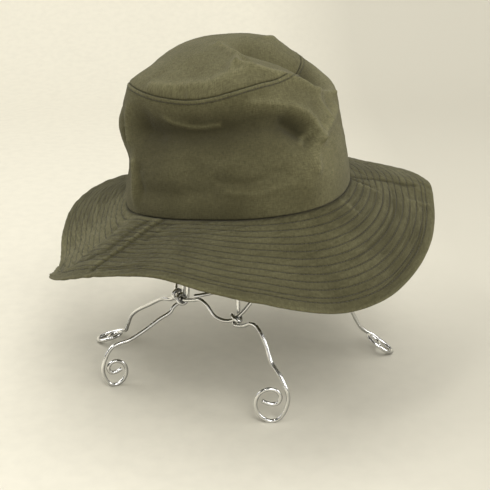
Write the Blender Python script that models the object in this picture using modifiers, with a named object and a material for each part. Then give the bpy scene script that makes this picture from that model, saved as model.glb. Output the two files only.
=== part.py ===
"""Cloth hiking hat resting on a stand of bent wire. Metres, +Z up, the front faces -Y."""
import math
from collections import namedtuple

import bmesh
import bpy
import numpy as np
from mathutils import Matrix, Vector
from mathutils.bvhtree import BVHTree

OBJECT_NAME = "hiking_hat_on_wire_stand"


def columns(names, rows):
    """One array for each named column of a short table."""
    return dict(zip(names.split(), np.array(rows, float).T))


# Head opening: an oval whose long axis is turned away from +X
HEAD_LENGTH = 0.196
HEAD_WIDTH = 0.169
HEAD_TURN = 300.0

# Crown and its cloth
CROWN_HEIGHT = 0.115
CROWN_ROUNDNESS = 2.7
CROWN_WALL = 0.0016
TIP_SEAM_GAP = 0.0009

# Brim and its quilted cloth
BRIM_WIDTH = 0.0785
BRIM_WALL = 0.0022
BRIM_SEAM_GAP = 0.0006

# How the hat sits on the stand
SEAM_HEIGHT = 0.160
HAT_ROLL = math.radians(7.3)
HAT_REST_GAP = 0.0014

# Wire stand
WIRE = 0.0032
WIRE_GAP = 0.0003
WINDING_GAP = 0.0006
FOOT_REACH = 0.133
WAIST_RADIUS = 0.052
WAIST_HEIGHT = 0.074
WINDING_PITCH = 0.0044
WINDING_TURNS = 1.25
SCROLL_SIZE = 0.026
FOOT_FLAT = 0.0006
CAGE_RADIUS = 0.056
TOP_RING_RADIUS = 0.022
HOOK_TURN = 225.0

# Mesh fineness; the crown's columns stand closer together round its most folded side
CROWN_COLUMNS = 60
COLUMN_GATHER = 0.40
FOLDED_TURN = 282.0
SIDE_ROWS = 13
TIP_ROWS = 7
BRIM_COLUMNS = 72
BRIM_ROWS = 7
TOP_RING_POINTS = 20
BEND_STEP = math.radians(25)
LONGEST_STEP = 0.012
RING_STEP = 0.006

# Crown plan: opening is the share of the oval's radius, seam the share of the way up to the tip
CROWN_PLAN = columns("turn opening seam", [
    (0, 0.985, 0.60),
    (40, 1.03, 0.61),
    (80, 1.00, 0.58),
    (120, 1.00, 0.56),
    (160, 1.00, 0.60),
    (185, 1.04, 0.565),
    (209, 1.085, 0.544),
    (230, 1.015, 0.514),
    (255, 0.945, 0.497),
    (280, 0.985, 0.524),
    (305, 1.045, 0.556),
    (335, 0.995, 0.572),
])

# Brim: droop is the slope of the cloth below the seam's plane, in degrees, and sag how far the middle
# of the cloth hangs below a straight line, as a share of BRIM_WIDTH
BRIM_PLAN = columns("turn droop sag", [
    (0, 30, 0),
    (18, 21, 0),
    (45, 22, 0),
    (65, 19, 0),
    (90, 26, 0),
    (115, 20, 0),
    (135, 13, 0),
    (150, 16, 0),
    (165, 26, 0.01),
    (180, 35, 0.02),
    (193, 34, 0.04),
    (201, 29.5, 0.09),
    (206, 25, 0.11),
    (210, 21, 0.05),
    (214, 17.7, -0.02),
    (219, 13.8, -0.05),
    (226, 9.7, -0.03),
    (234, 7.5, 0),
    (242, 6, 0),
    (262, 10, 0),
    (285, 29, 0),
    (300, 47.5, 0),
    (315, 53, 0),
    (330, 47, 0),
])

# Folds fade in from the head opening up to this share of the way to the top
FOLD_START = 0.13

# Folds of the crown: push and width are shares of CROWN_HEIGHT, soft is 0.1 for a crease and 1 for a dent,
# and the path is a chain of (turn, share of the way up)
Fold = namedtuple("Fold", "name push width soft path")
FOLDS = [
    Fold("front tip edge", 0.055, 0.13, 0.7, [(200, 0.55), (230, 0.53), (258, 0.515), (288, 0.54)]),
    Fold("front undercut", -0.075, 0.12, 0.7, [(218, 0.38), (236, 0.368), (260, 0.372), (275, 0.385),
                                               (288, 0.405), (298, 0.37), (304, 0.32)]),
    Fold("front hollow", -0.040, 0.24, 1.0, [(225, 0.28), (255, 0.28), (282, 0.27)]),
    Fold("shoulder ridge", 0.042, 0.09, 0.6, [(284, 0.465), (293, 0.455), (302, 0.43), (308, 0.39),
                                              (310.5, 0.35), (311.5, 0.30), (311, 0.275)]),
    Fold("right far crease", 0.030, 0.09, 0.6, [(334, 0.345), (323, 0.32), (316, 0.293), (311, 0.273)]),
    Fold("right low crease", 0.026, 0.09, 0.6, [(311, 0.275), (308.5, 0.252), (307, 0.215), (306, 0.16)]),
    Fold("right corner", 0.020, 0.10, 0.6, [(304, 0.18), (301, 0.11), (301, 0.00)]),
    Fold("right pocket", -0.028, 0.11, 0.8, [(298, 0.385), (303, 0.335), (306, 0.295)]),
    Fold("right shoulder", 0.046, 0.11, 0.8, [(345, 0.40), (8, 0.40)]),
    Fold("tip front lip", 0.040, 0.09, 0.6, [(271, 0.86), (280, 0.80), (285.5, 0.72), (283, 0.68),
                                             (281, 0.655), (285.5, 0.632), (292, 0.605), (298, 0.583),
                                             (306, 0.555), (314, 0.508), (319, 0.47), (328, 0.438),
                                             (341, 0.398)]),
    Fold("tip dent", -0.120, 0.13, 0.7, [(308, 0.82), (318, 0.72), (325, 0.64), (332, 0.56), (338, 0.50)]),
    Fold("tip far slope", -0.030, 0.16, 1.0, [(345, 0.66), (10, 0.62), (40, 0.62)]),
    Fold("tip left slope", -0.025, 0.18, 1.0, [(172, 0.66), (190, 0.74)]),
    Fold("tip light ridge", 0.022, 0.08, 0.5, [(225, 0.56), (244, 0.553), (264, 0.563), (271, 0.585),
                                               (279, 0.595), (286, 0.61)]),
    Fold("left hollow", -0.055, 0.16, 1.0, [(165, 0.17), (182, 0.19), (197, 0.20)]),
    Fold("left bulge", 0.035, 0.14, 1.0, [(172, 0.37), (188, 0.37)]),
    Fold("left crease", -0.042, 0.08, 0.6, [(183, 0.43), (191, 0.408), (197.5, 0.375), (199.5, 0.32)]),
    Fold("left corner", 0.024, 0.08, 0.6, [(213, 0.00), (211.5, 0.06), (211, 0.13), (210, 0.22)]),
    Fold("front low fold", -0.018, 0.08, 0.8, [(218, 0.10), (236, 0.10), (257, 0.113)]),
    Fold("back dent", -0.060, 0.20, 1.0, [(60, 0.36), (95, 0.33), (130, 0.38)]),
]

# Waist ring: reach and rise are shares of WAIST_RADIUS and WAIST_HEIGHT
WAIST_PLAN = columns("turn reach rise", [
    (0, 1.00, 1.06),
    (60, 0.98, 1.04),
    (120, 0.98, 1.02),
    (180, 1.00, 0.97),
    (212, 1.02, 0.95),
    (226, 1.00, 1.00),
    (235, 1.00, 1.03),
    (241, 0.99, 0.98),
    (247, 0.99, 0.89),
    (255, 0.99, 0.845),
    (266, 1.00, 0.87),
    (274, 1.00, 0.96),
    (283, 1.00, 1.10),
    (315, 1.00, 1.12),
])

# Scroll foot: its wire's middle line, in shares of half its height, from the leg to the inner end
SCROLL = columns("across up", [
    (0.76, 1.00),
    (0.88, 0.43),
    (0.73, -0.33),
    (0.38, -0.86),
    (-0.05, -1.00),
    (-0.57, -0.74),
    (-0.87, -0.24),
    (-0.88, 0.33),
    (-0.62, 0.80),
    (-0.14, 1.00),
    (0.28, 0.86),
    (0.46, 0.48),
    (0.30, 0.12),
    (-0.10, 0.08),
    (-0.55, 0.28),
])

# Legs: x and y are where the foot touches the floor in shares of FOOT_REACH, scroll its height in shares
# of SCROLL_SIZE, lean the slope of the scroll's plane, facing the turn of its low side, flip its hand,
# ring and top the turns of its winding on the waist ring and of its hook on the top ring
Leg = namedtuple("Leg", "name x y scroll lean facing flip ring top route")
ROUTE = "toward side rise"
LEGS = [
    Leg("leg_wire_left_back", -0.95, 0.32, 0.92, 20, 152, -1, 199, 150, columns(ROUTE, [
        (0.04, 0.00, 0.09),
        (0.12, 0.00, 0.29),
        (0.25, 0.00, 0.45),
        (0.51, 0.00, 0.67),
        (0.66, 0.00, 0.80),
        (0.76, 0.00, 0.87),
        (0.88, 0.00, 0.91),
    ])),
    Leg("leg_wire_left_front", -0.759, -0.323, 0.82, 90, 290, -1, 209, 225, columns(ROUTE, [
        (0.06, 0.00, 0.20),
        (0.12, 0.00, 0.30),
        (0.21, 0.00, 0.35),
        (0.32, 0.00, 0.38),
        (0.51, 0.00, 0.52),
        (0.73, 0.00, 0.72),
        (0.87, 0.00, 0.83),
        (0.91, 0.00, 0.92),
    ])),
    Leg("leg_wire_front", 0.188, -0.737, 1.06, 90, 270, 1, 267, 290, columns(ROUTE, [
        (0.10, 0.00, 0.25),
        (0.28, 0.00, 0.51),
        (0.38, 0.00, 0.88),
        (0.47, 0.00, 1.12),
        (0.57, 0.00, 1.25),
        (0.67, 0.00, 1.25),
        (0.79, 0.00, 1.11),
        (0.91, 0.00, 1.02),
    ])),
    Leg("leg_wire_right", 1.00, 0.128, 1.00, 35, 6, 1, 5, 20, columns(ROUTE, [
        (0.08, 0.00, 0.08),
        (0.16, 0.00, 0.22),
        (0.25, 0.00, 0.40),
        (0.46, 0.00, 0.66),
        (0.76, 0.00, 0.90),
    ])),
]

# Uprights: rise is the share of the way to the top ring, reach a share of CAGE_RADIUS
UPRIGHT = columns("rise reach", [
    (0.10, 0.84),
    (0.28, 0.92),
    (0.52, 1.00),
    (0.76, 0.95),
    (0.91, 0.72),
])

# Waist brace: toward is the share of the way between its ends on the ring, bow its sideways bend
BRACE_START_TURN = 233.0
BRACE_END_TURN = 318.0
BRACE_OVERHANG = 0.004
BRACE_BOW = columns("toward bow", [
    (0.00, 0.00),
    (0.25, 0.05),
    (0.60, 0.08),
    (1.00, 0.00),
])

# Meridian of the crown, as a superellipse read by the share of its length
MERIDIAN_STEPS = 1200
LEAN = np.linspace(0, math.pi / 2, MERIDIAN_STEPS)
MERIDIAN_OUT = np.cos(LEAN) ** (2 / CROWN_ROUNDNESS)
MERIDIAN_OUT[-1] = 0
MERIDIAN_RISE = np.sin(LEAN) ** (2 / CROWN_ROUNDNESS)
MERIDIAN_STEP = np.hypot(
    np.diff(MERIDIAN_OUT) * (HEAD_LENGTH + HEAD_WIDTH) / 4,
    np.diff(MERIDIAN_RISE) * CROWN_HEIGHT,
)
MERIDIAN_LENGTH = MERIDIAN_STEP.sum()
MERIDIAN_SHARE = np.concatenate([[0], np.cumsum(MERIDIAN_STEP)]) / MERIDIAN_LENGTH


def smooth_step(value):
    """0 below 0, 1 above 1 and a smooth rise between."""
    value = np.clip(value, 0, 1)
    return value * value * (3 - 2 * value)


def curve_through(knots, values, position):
    """Smooth curve through the values at the knots, read at any position between them."""
    slope = np.gradient(values, knots)
    index = np.clip(np.searchsorted(knots, position, side="right") - 1, 0, len(knots) - 2)
    span = knots[index + 1] - knots[index]
    share = (position - knots[index]) / span
    keep = (1 + 2 * share) * (1 - share) ** 2
    leave = share * (1 - share) ** 2
    reach = share * share * (3 - 2 * share)
    arrive = share * share * (share - 1)
    return (keep * values[index] + leave * span * slope[index]
            + reach * values[index + 1] + arrive * span * slope[index + 1])


def around(table, name, turn):
    """Closed smooth curve through a column of a table, read at a turn in degrees."""
    knots = np.concatenate([table["turn"][-2:] - 360, table["turn"], table["turn"][:2] + 360])
    values = np.concatenate([table[name][-2:], table[name], table[name][:2]])
    return curve_through(knots, values, np.mod(turn, 360))


def opening_radius(turn):
    """Radius of the head opening at a turn in degrees."""
    angle = np.radians(turn - HEAD_TURN)
    oval = 1 / np.hypot(np.cos(angle) / (HEAD_LENGTH / 2), np.sin(angle) / (HEAD_WIDTH / 2))
    return oval * around(CROWN_PLAN, "opening", turn)


def crown_form(turn, up):
    """Crown without its folds, and the direction that a fold pushes it in."""
    radius = opening_radius(turn)
    out = np.interp(up, MERIDIAN_SHARE, MERIDIAN_OUT)
    rise = np.interp(up, MERIDIAN_SHARE, MERIDIAN_RISE)
    heading = np.radians(turn)
    reach = radius * out
    place = np.stack([reach * np.cos(heading), reach * np.sin(heading), CROWN_HEIGHT * rise], -1)
    steep = out ** (CROWN_ROUNDNESS - 1) / radius
    level = rise ** (CROWN_ROUNDNESS - 1) / CROWN_HEIGHT
    facing = np.stack([steep * np.cos(heading), steep * np.sin(heading), level], -1)
    return place, facing / np.linalg.norm(facing, axis=-1, keepdims=True)


def fold_line(fold, steps=6):
    """Points of a fold's path on the crown without folds."""
    turns = np.unwrap(np.radians([point[0] for point in fold.path]))
    ups = np.array([point[1] for point in fold.path])
    knots = np.arange(len(ups))
    position = np.linspace(0, len(ups) - 1, steps * (len(ups) - 1) + 1)
    return crown_form(np.degrees(np.interp(position, knots, turns)), np.interp(position, knots, ups))[0]


def distance_to_line(points, line):
    """Shortest distance from each point to a chain of straight pieces."""
    nearest = np.full(points.shape[:-1], np.inf)
    for start, end in zip(line[:-1], line[1:]):
        along = end - start
        share = np.clip(((points - start) @ along) / (along @ along), 0, 1)
        gap = np.linalg.norm(points - start - share[..., None] * along, axis=-1)
        nearest = np.minimum(nearest, gap)
    return nearest


def crown_point(turn, up):
    """Crown's outer face at a turn in degrees and a share of the way up."""
    place, facing = crown_form(turn, up)
    push = np.zeros(place.shape[:-1])
    for fold in FOLDS:
        away = distance_to_line(place, fold_line(fold)) / (fold.width * CROWN_HEIGHT)
        push += fold.push * np.exp(2 * (fold.soft - np.hypot(fold.soft, away)))
    push *= smooth_step(up / FOLD_START)
    return place + facing * (push * CROWN_HEIGHT)[..., None]


def brim_point(turn, across):
    """Brim's upper face at a turn and a share of the way out; below 0 is under the crown's wall."""
    radius = opening_radius(turn)
    heading = np.radians(turn)
    seam = np.stack([radius * np.cos(heading), radius * np.sin(heading)], -1)
    ahead = opening_radius(turn + 1)
    behind = opening_radius(turn - 1)
    one = math.radians(1)
    along = np.stack([ahead * np.cos(heading + one) - behind * np.cos(heading - one),
                      ahead * np.sin(heading + one) - behind * np.sin(heading - one)], -1)
    outward = np.stack([along[..., 1], -along[..., 0]], -1)
    outward /= np.linalg.norm(outward, axis=-1, keepdims=True)
    droop = np.radians(np.where(across > 0, around(BRIM_PLAN, "droop", turn), 0))
    reach = across * BRIM_WIDTH
    plan = seam + outward * (reach * np.cos(droop))[..., None]
    inside = np.clip(across, 0, 1)
    sag = around(BRIM_PLAN, "sag", turn) * BRIM_WIDTH * 4 * inside * (1 - inside)
    return np.concatenate([plan, (-BRIM_SEAM_GAP - reach * np.sin(droop) - sag)[..., None]], -1)


def hat_placement():
    """Where the hat's own frame, with the seam's middle at its origin, sits on the stand."""
    return Matrix.Translation((0, 0, SEAM_HEIGHT)) @ Matrix.Rotation(-HAT_ROLL, 4, "Y")


def in_hat(points):
    """Points of the hat's own frame in the stand's frame."""
    matrix = np.array(hat_placement())
    return np.asarray(points) @ matrix[:3, :3].T + matrix[:3, 3]


def clear_scene():
    """Remove every object of the scene."""
    for thing in list(bpy.data.objects):
        bpy.data.objects.remove(thing, do_unlink=True)


def add_collection(name):
    """New collection in the scene."""
    collection = bpy.data.collections.new(name)
    bpy.context.scene.collection.children.link(collection)
    return collection


def plain_material(name, color, roughness, metallic=0.0):
    """Principled material of one colour."""
    material = bpy.data.materials.new(name)
    material.use_nodes = True
    shader = material.node_tree.nodes["Principled BSDF"]
    shader.inputs["Base Color"].default_value = (*color, 1)
    shader.inputs["Roughness"].default_value = roughness
    shader.inputs["Metallic"].default_value = metallic
    return material


def add_cloth(name, parent, material, shape, columns_count, rows, wall):
    """Closed cloth wall: a grid bent round the hat by shape(turn, row share), thickened inwards."""
    shell = bmesh.new()
    bmesh.ops.create_grid(shell, x_segments=columns_count, y_segments=len(rows) - 1, size=1)
    corners = np.array([corner.co[:2] for corner in shell.verts])
    turn = (corners[:, 0] + 1) * 180
    row = np.rint((corners[:, 1] + 1) / 2 * (len(rows) - 1)).astype(int)
    for corner, place in zip(shell.verts, shape(turn, np.asarray(rows)[row])):
        corner.co = place
    bmesh.ops.remove_doubles(shell, verts=shell.verts, dist=0.00002)
    mesh = bpy.data.meshes.new(name)
    shell.to_mesh(mesh)
    shell.free()
    mesh.shade_smooth()
    cloth = bpy.data.objects.new(name, mesh)
    cloth.parent = parent
    mesh.materials.append(material)
    thick = cloth.modifiers.new("wall", "SOLIDIFY")
    thick.thickness = wall
    thick.offset = -1
    return cloth


def gathered(turn):
    """Turns of the crown's columns, closer together round the most folded side."""
    return turn - np.degrees(COLUMN_GATHER * np.sin(np.radians(turn - FOLDED_TURN)))


def side_shape(turn, row):
    """Crown's side panel, from the head opening up to the tip seam."""
    turn = gathered(turn)
    seam = around(CROWN_PLAN, "seam", turn) - TIP_SEAM_GAP / 2 / MERIDIAN_LENGTH
    return crown_point(turn, row * seam)


def tip_shape(turn, row):
    """Crown's tip, from the tip seam to the top."""
    turn = gathered(turn)
    seam = around(CROWN_PLAN, "seam", turn) + TIP_SEAM_GAP / 2 / MERIDIAN_LENGTH
    return crown_point(turn, seam + row * (1 - seam))


def brim_shape(turn, row):
    """Brim, turned the other way round so that its upper face points up."""
    return brim_point(360 - turn, row)


def rows_with_seam(count, narrow, at_end):
    """Even shares from 0 to 1 with a narrow row beside the seam."""
    rows = list(np.linspace(0, 1, count))
    rows.insert(count - 1 if at_end else 1, 1 - narrow if at_end else narrow)
    return rows


def add_hat(collection, parent):
    """Crown side, crown tip and brim."""
    crown_cloth = plain_material("crown_cloth", (0.105, 0.100, 0.055), 0.9)
    brim_cloth = plain_material("brim_cloth", (0.100, 0.094, 0.052), 0.9)
    seat = bpy.data.objects.new("hat_seat", None)
    seat.parent = parent
    seat.matrix_local = hat_placement()
    collection.objects.link(seat)
    side_rows = rows_with_seam(SIDE_ROWS, 0.02, True)
    tip_rows = rows_with_seam(TIP_ROWS + 1, 0.02, False)
    brim_rows = [-CROWN_WALL / BRIM_WIDTH, *np.linspace(0, 1, BRIM_ROWS)]
    pieces = [
        add_cloth("crown_side", seat, crown_cloth, side_shape, CROWN_COLUMNS, side_rows, CROWN_WALL),
        add_cloth("crown_tip", seat, crown_cloth, tip_shape, CROWN_COLUMNS, tip_rows, CROWN_WALL),
        add_cloth("brim", seat, brim_cloth, brim_shape, BRIM_COLUMNS, brim_rows, BRIM_WALL),
    ]
    for piece in pieces:
        collection.objects.link(piece)
    return pieces


def smooth_path(points, per_span=12):
    """Smooth curve through points in space, read closely along its length."""
    points = np.asarray(points, float)
    knots = np.concatenate([[0], np.cumsum(np.sqrt(np.linalg.norm(np.diff(points, axis=0), axis=1)))])
    position = np.concatenate([
        np.linspace(knots[i], knots[i + 1], per_span, endpoint=False) for i in range(len(knots) - 1)
    ] + [knots[-1:]])
    return np.stack([curve_through(knots, points[:, axis], position) for axis in range(3)], -1)


def thin_out(path, longest=LONGEST_STEP):
    """Keep a point of a close path wherever it has bent by BEND_STEP or run for the longest step."""
    kept = [0]
    heading = np.diff(path, axis=0)
    heading /= np.linalg.norm(heading, axis=1, keepdims=True)
    for index in range(1, len(path) - 1):
        bend = math.acos(min(1.0, float(heading[kept[-1]] @ heading[index])))
        if bend > BEND_STEP or np.linalg.norm(path[index] - path[kept[-1]]) > longest:
            kept.append(index)
    return path[kept + [len(path) - 1]]


def add_wire(name, parent, material, path, closed=False):
    """Round wire along a path."""
    curve = bpy.data.curves.new(name, "CURVE")
    curve.dimensions = "3D"
    curve.bevel_depth = WIRE / 2
    curve.bevel_resolution = 1
    curve.use_fill_caps = not closed
    spline = curve.splines.new("POLY")
    spline.points.add(len(path) - 1)
    for point, place in zip(spline.points, path):
        point.co = (*place, 1)
    spline.use_cyclic_u = closed
    curve.materials.append(material)
    wire = bpy.data.objects.new(name, curve)
    wire.parent = parent
    return wire


def ring_place(turn):
    """Middle of the waist ring's wire at a turn in degrees."""
    heading = np.radians(turn)
    reach = WAIST_RADIUS * around(WAIST_PLAN, "reach", turn)
    rise = WAIST_HEIGHT * around(WAIST_PLAN, "rise", turn)
    return np.stack([reach * np.cos(heading), reach * np.sin(heading), rise], -1)


def scroll_path(leg):
    """Scroll foot, from its inner end to the leg, low side on the floor."""
    half = leg.scroll * SCROLL_SIZE / 2
    lean = math.radians(leg.lean)
    facing = math.radians(leg.facing)
    low = np.array([math.cos(lean) * math.cos(facing), math.cos(lean) * math.sin(facing), -math.sin(lean)])
    across = leg.flip * np.array([-math.sin(facing), math.cos(facing), 0])
    touch = np.array([leg.x * FOOT_REACH, leg.y * FOOT_REACH, WIRE / 2 - FOOT_FLAT])
    middle = touch - half * low
    spread = SCROLL["across"][::-1, None] * across - SCROLL["up"][::-1, None] * low
    return middle + half * spread


def winding_path(leg, steps=14):
    """Turns round the waist ring, from below it to its inner side."""
    step = math.degrees(WINDING_PITCH / WAIST_RADIUS)
    share = np.linspace(0, 1, round(steps * WINDING_TURNS) + 1)
    turns = leg.ring + (share - 0.5) * step * WINDING_TURNS
    centre = ring_place(turns)
    along = ring_place(turns + 1) - ring_place(turns - 1)
    along /= np.linalg.norm(along, axis=1, keepdims=True)
    outward = np.cross(along, [0, 0, 1])
    outward /= np.linalg.norm(outward, axis=1, keepdims=True)
    upward = np.cross(outward, along)
    angle = -math.pi / 2 - share * WINDING_TURNS * 2 * math.pi
    bend = np.cos(angle)[:, None] * outward + np.sin(angle)[:, None] * upward
    return centre + (WIRE + WINDING_GAP) * bend


def leg_path(leg, start, end):
    """Leg's own bends, between the end of its scroll and the start of its winding."""
    plan = end[:2] - start[:2]
    side = np.array([-plan[1], plan[0]])
    route = leg.route
    places = start[:2] + route["toward"][:, None] * plan + route["side"][:, None] * side
    height = start[2] + route["rise"] * (end[2] - start[2])
    return np.column_stack([places, height])


def hook_bend(steps=8):
    """Bend of an upright over the top ring, about the ring's wire: across and up for each step."""
    angle = np.radians(np.linspace(0, HOOK_TURN, steps))
    return (WIRE + WINDING_GAP) * np.cos(angle), (WIRE + WINDING_GAP) * np.sin(angle)


def top_ring_level(tip):
    """Height of the top ring in the hat's own frame, so that the first hook over it meets the cloth."""
    cloth = BVHTree.FromObject(tip, bpy.context.evaluated_depsgraph_get())
    levels = []
    for leg in LEGS:
        heading = math.radians(leg.top)
        for across, up in zip(*hook_bend()):
            reach = TOP_RING_RADIUS + across
            start = Vector((reach * math.cos(heading), reach * math.sin(heading), CROWN_HEIGHT / 2))
            hit = cloth.ray_cast(start, Vector((0, 0, 1)))[0]
            levels.append(hit.z - up - WIRE / 2)
    return min(levels) - HAT_REST_GAP


def top_ring_place(turn, level):
    """Middle of the top ring's wire at a turn in degrees."""
    heading = np.radians(turn)
    flat = np.zeros_like(heading) + level
    return in_hat(np.stack([TOP_RING_RADIUS * np.cos(heading), TOP_RING_RADIUS * np.sin(heading), flat], -1))


def hook_path(leg, level):
    """End of an upright, bent over the top ring from outside."""
    across, up = hook_bend()
    heading = math.radians(leg.top)
    outward = np.array([math.cos(heading), math.sin(heading), 0])
    reach = (TOP_RING_RADIUS + across)[:, None] * outward
    return in_hat(reach + (level + up)[:, None] * np.array([0, 0, 1]))


def upright_path(leg, start, level):
    """Upright between the winding and its hook, bowed out inside the crown."""
    foot_axis = np.array([0, 0, start[2]])
    top_axis = in_hat([0, 0, level])
    start_turn = math.degrees(math.atan2(start[1], start[0])) % 360
    change = (leg.top - start_turn + 180) % 360 - 180
    rise = UPRIGHT["rise"]
    heading = np.radians(start_turn + change * smooth_step(rise))
    axis = foot_axis + rise[:, None] * (top_axis - foot_axis)
    reach = CAGE_RADIUS * UPRIGHT["reach"]
    return axis + reach[:, None] * np.stack([np.cos(heading), np.sin(heading), np.zeros_like(heading)], -1)


def add_leg(leg, parent, material, level):
    """One wire of the stand: scroll foot, leg, winding, upright and hook."""
    scroll = scroll_path(leg)
    winding = winding_path(leg)
    hook = hook_path(leg, level)
    route = leg_path(leg, scroll[-1], winding[0])
    upright = upright_path(leg, winding[-1], level)
    path = smooth_path(np.concatenate([scroll, route, winding, upright, hook]))
    return add_wire(leg.name, parent, material, thin_out(path))


def brace_path():
    """Wire laid across the top of the waist ring."""
    lift = np.array([0, 0, WIRE + WIRE_GAP])
    start = ring_place(BRACE_START_TURN) + lift
    end = ring_place(BRACE_END_TURN) + lift
    run = end - start
    way = run / np.linalg.norm(run)
    bow = np.cross([0, 0, 1], run)
    middle = start + BRACE_BOW["toward"][:, None] * run + BRACE_BOW["bow"][:, None] * bow
    return smooth_path([start - BRACE_OVERHANG * way, *middle, end + BRACE_OVERHANG * way])


def make_mesh(wire, collection):
    """Mesh copy of a wire with its caps welded, in place of the curve."""
    collection.objects.link(wire)
    graph = bpy.context.evaluated_depsgraph_get()
    mesh = bpy.data.meshes.new_from_object(wire.evaluated_get(graph))
    shell = bmesh.new()
    shell.from_mesh(mesh)
    bmesh.ops.remove_doubles(shell, verts=shell.verts, dist=0.00001)
    shell.to_mesh(mesh)
    shell.free()
    name = wire.name
    solid = bpy.data.objects.new(name + "_solid", mesh)
    solid.parent = wire.parent
    solid.matrix_world = wire.matrix_world
    bpy.data.objects.remove(wire, do_unlink=True)
    solid.name = name
    collection.objects.link(solid)
    mesh.shade_smooth()
    return solid


def add_floor_cutter(collection, parent):
    """Block whose upper face trims the feet flat at floor level."""
    depth = 0.01
    bpy.ops.mesh.primitive_cube_add(size=1, location=(0, 0, -depth / 2))
    cutter = bpy.context.object
    cutter.name = "floor_cutter"
    cutter.scale = (2 * (HEAD_LENGTH + BRIM_WIDTH), 2 * (HEAD_LENGTH + BRIM_WIDTH), depth)
    bpy.ops.object.transform_apply(location=True, rotation=False, scale=True)
    for owner in list(cutter.users_collection):
        owner.objects.unlink(cutter)
    collection.objects.link(cutter)
    cutter.parent = parent
    cutter.hide_render = True
    cutter.display_type = "WIRE"
    return cutter


def add_stand(collection, cutters, parent, tip):
    """Legs, waist ring, waist brace and top ring."""
    metal = plain_material("stand_wire", (0.80, 0.80, 0.80), 0.22, 1.0)
    level = top_ring_level(tip)
    cutter = add_floor_cutter(cutters, parent)
    pieces = []
    for leg in LEGS:
        solid = make_mesh(add_leg(leg, parent, metal, level), collection)
        trim = solid.modifiers.new("foot_flat", "BOOLEAN")
        trim.operation = "DIFFERENCE"
        trim.object = cutter
        pieces.append(solid)
    around_waist = thin_out(ring_place(np.arange(0, 360, 0.5)), RING_STEP)
    around_top = top_ring_place(np.arange(TOP_RING_POINTS) * 360 / TOP_RING_POINTS, level)
    rings = [
        add_wire("waist_ring", parent, metal, around_waist, closed=True),
        add_wire("top_ring", parent, metal, around_top, closed=True),
        add_wire("waist_brace", parent, metal, thin_out(brace_path())),
    ]
    for ring in rings:
        collection.objects.link(ring)
    return pieces + rings


def centre_on_floor(origin, pieces):
    """Move the whole object so that the middle of its plan is at the origin."""
    graph = bpy.context.evaluated_depsgraph_get()
    lowest = Vector((math.inf, math.inf))
    highest = -lowest
    for piece in pieces:
        solid = piece.evaluated_get(graph)
        mesh = solid.to_mesh()
        for corner in mesh.vertices:
            place = solid.matrix_world @ corner.co
            lowest = Vector((min(lowest.x, place.x), min(lowest.y, place.y)))
            highest = Vector((max(highest.x, place.x), max(highest.y, place.y)))
        solid.to_mesh_clear()
    middle = (lowest + highest) / 2
    origin.location = (-middle.x, -middle.y, 0)
    bpy.context.view_layer.update()


def main():
    """Build the hat on its stand."""
    clear_scene()
    collection = add_collection(OBJECT_NAME)
    cutters = add_collection("cutters")
    origin = bpy.data.objects.new("stand_axis", None)
    collection.objects.link(origin)
    hat = add_hat(collection, origin)
    pieces = hat + add_stand(collection, cutters, origin, hat[1])
    bpy.context.view_layer.update()
    centre_on_floor(origin, pieces)


main()
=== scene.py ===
"""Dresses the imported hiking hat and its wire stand: woven cloth, quilting, stitches and polished wire."""
import math
from collections import namedtuple

import bmesh
import bpy
import numpy as np
from bpy.props import FloatProperty, FloatVectorProperty, IntProperty, PointerProperty
from bpy.types import Operator, Panel, PropertyGroup
from mathutils import Matrix, Vector, noise


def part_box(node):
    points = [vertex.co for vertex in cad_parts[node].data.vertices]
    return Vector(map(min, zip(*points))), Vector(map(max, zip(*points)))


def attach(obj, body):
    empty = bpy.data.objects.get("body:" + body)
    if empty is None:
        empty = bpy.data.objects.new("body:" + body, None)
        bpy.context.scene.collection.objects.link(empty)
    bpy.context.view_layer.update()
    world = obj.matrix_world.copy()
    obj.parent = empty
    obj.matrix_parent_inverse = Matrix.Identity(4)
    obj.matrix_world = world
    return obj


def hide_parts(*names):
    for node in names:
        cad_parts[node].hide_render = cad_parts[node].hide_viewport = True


bl_info = {
    "name": "Hiking hat on a wire stand",
    "version": (1, 0, 0),
    "blender": (4, 5, 0),
    "location": "3D View > Sidebar > Hat",
    "description": "Builds the cloth, the stitches and the bent wire of a hiking hat on its stand",
    "category": "Object",
}

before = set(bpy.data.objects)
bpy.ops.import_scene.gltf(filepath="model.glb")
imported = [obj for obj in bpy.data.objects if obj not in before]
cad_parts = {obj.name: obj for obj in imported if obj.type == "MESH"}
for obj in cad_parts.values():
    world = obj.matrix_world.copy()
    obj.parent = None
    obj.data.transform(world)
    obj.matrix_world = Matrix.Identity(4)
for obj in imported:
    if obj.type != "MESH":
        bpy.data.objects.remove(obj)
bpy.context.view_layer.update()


def columns(names, rows):
    """One array for each named column of a short table."""
    return dict(zip(names.split(), np.array(rows, float).T))


# Crown plan: opening is the share of the oval's radius, seam the share of the way up to the tip
CROWN_PLAN = columns("turn opening seam", [
    (0, 0.985, 0.60), (40, 1.03, 0.61), (80, 1.00, 0.58), (120, 1.00, 0.56), (160, 1.00, 0.60),
    (185, 1.04, 0.565), (209, 1.085, 0.544), (230, 1.015, 0.514), (255, 0.945, 0.497),
    (280, 0.985, 0.524), (305, 1.045, 0.556), (335, 0.995, 0.572),
])

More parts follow.
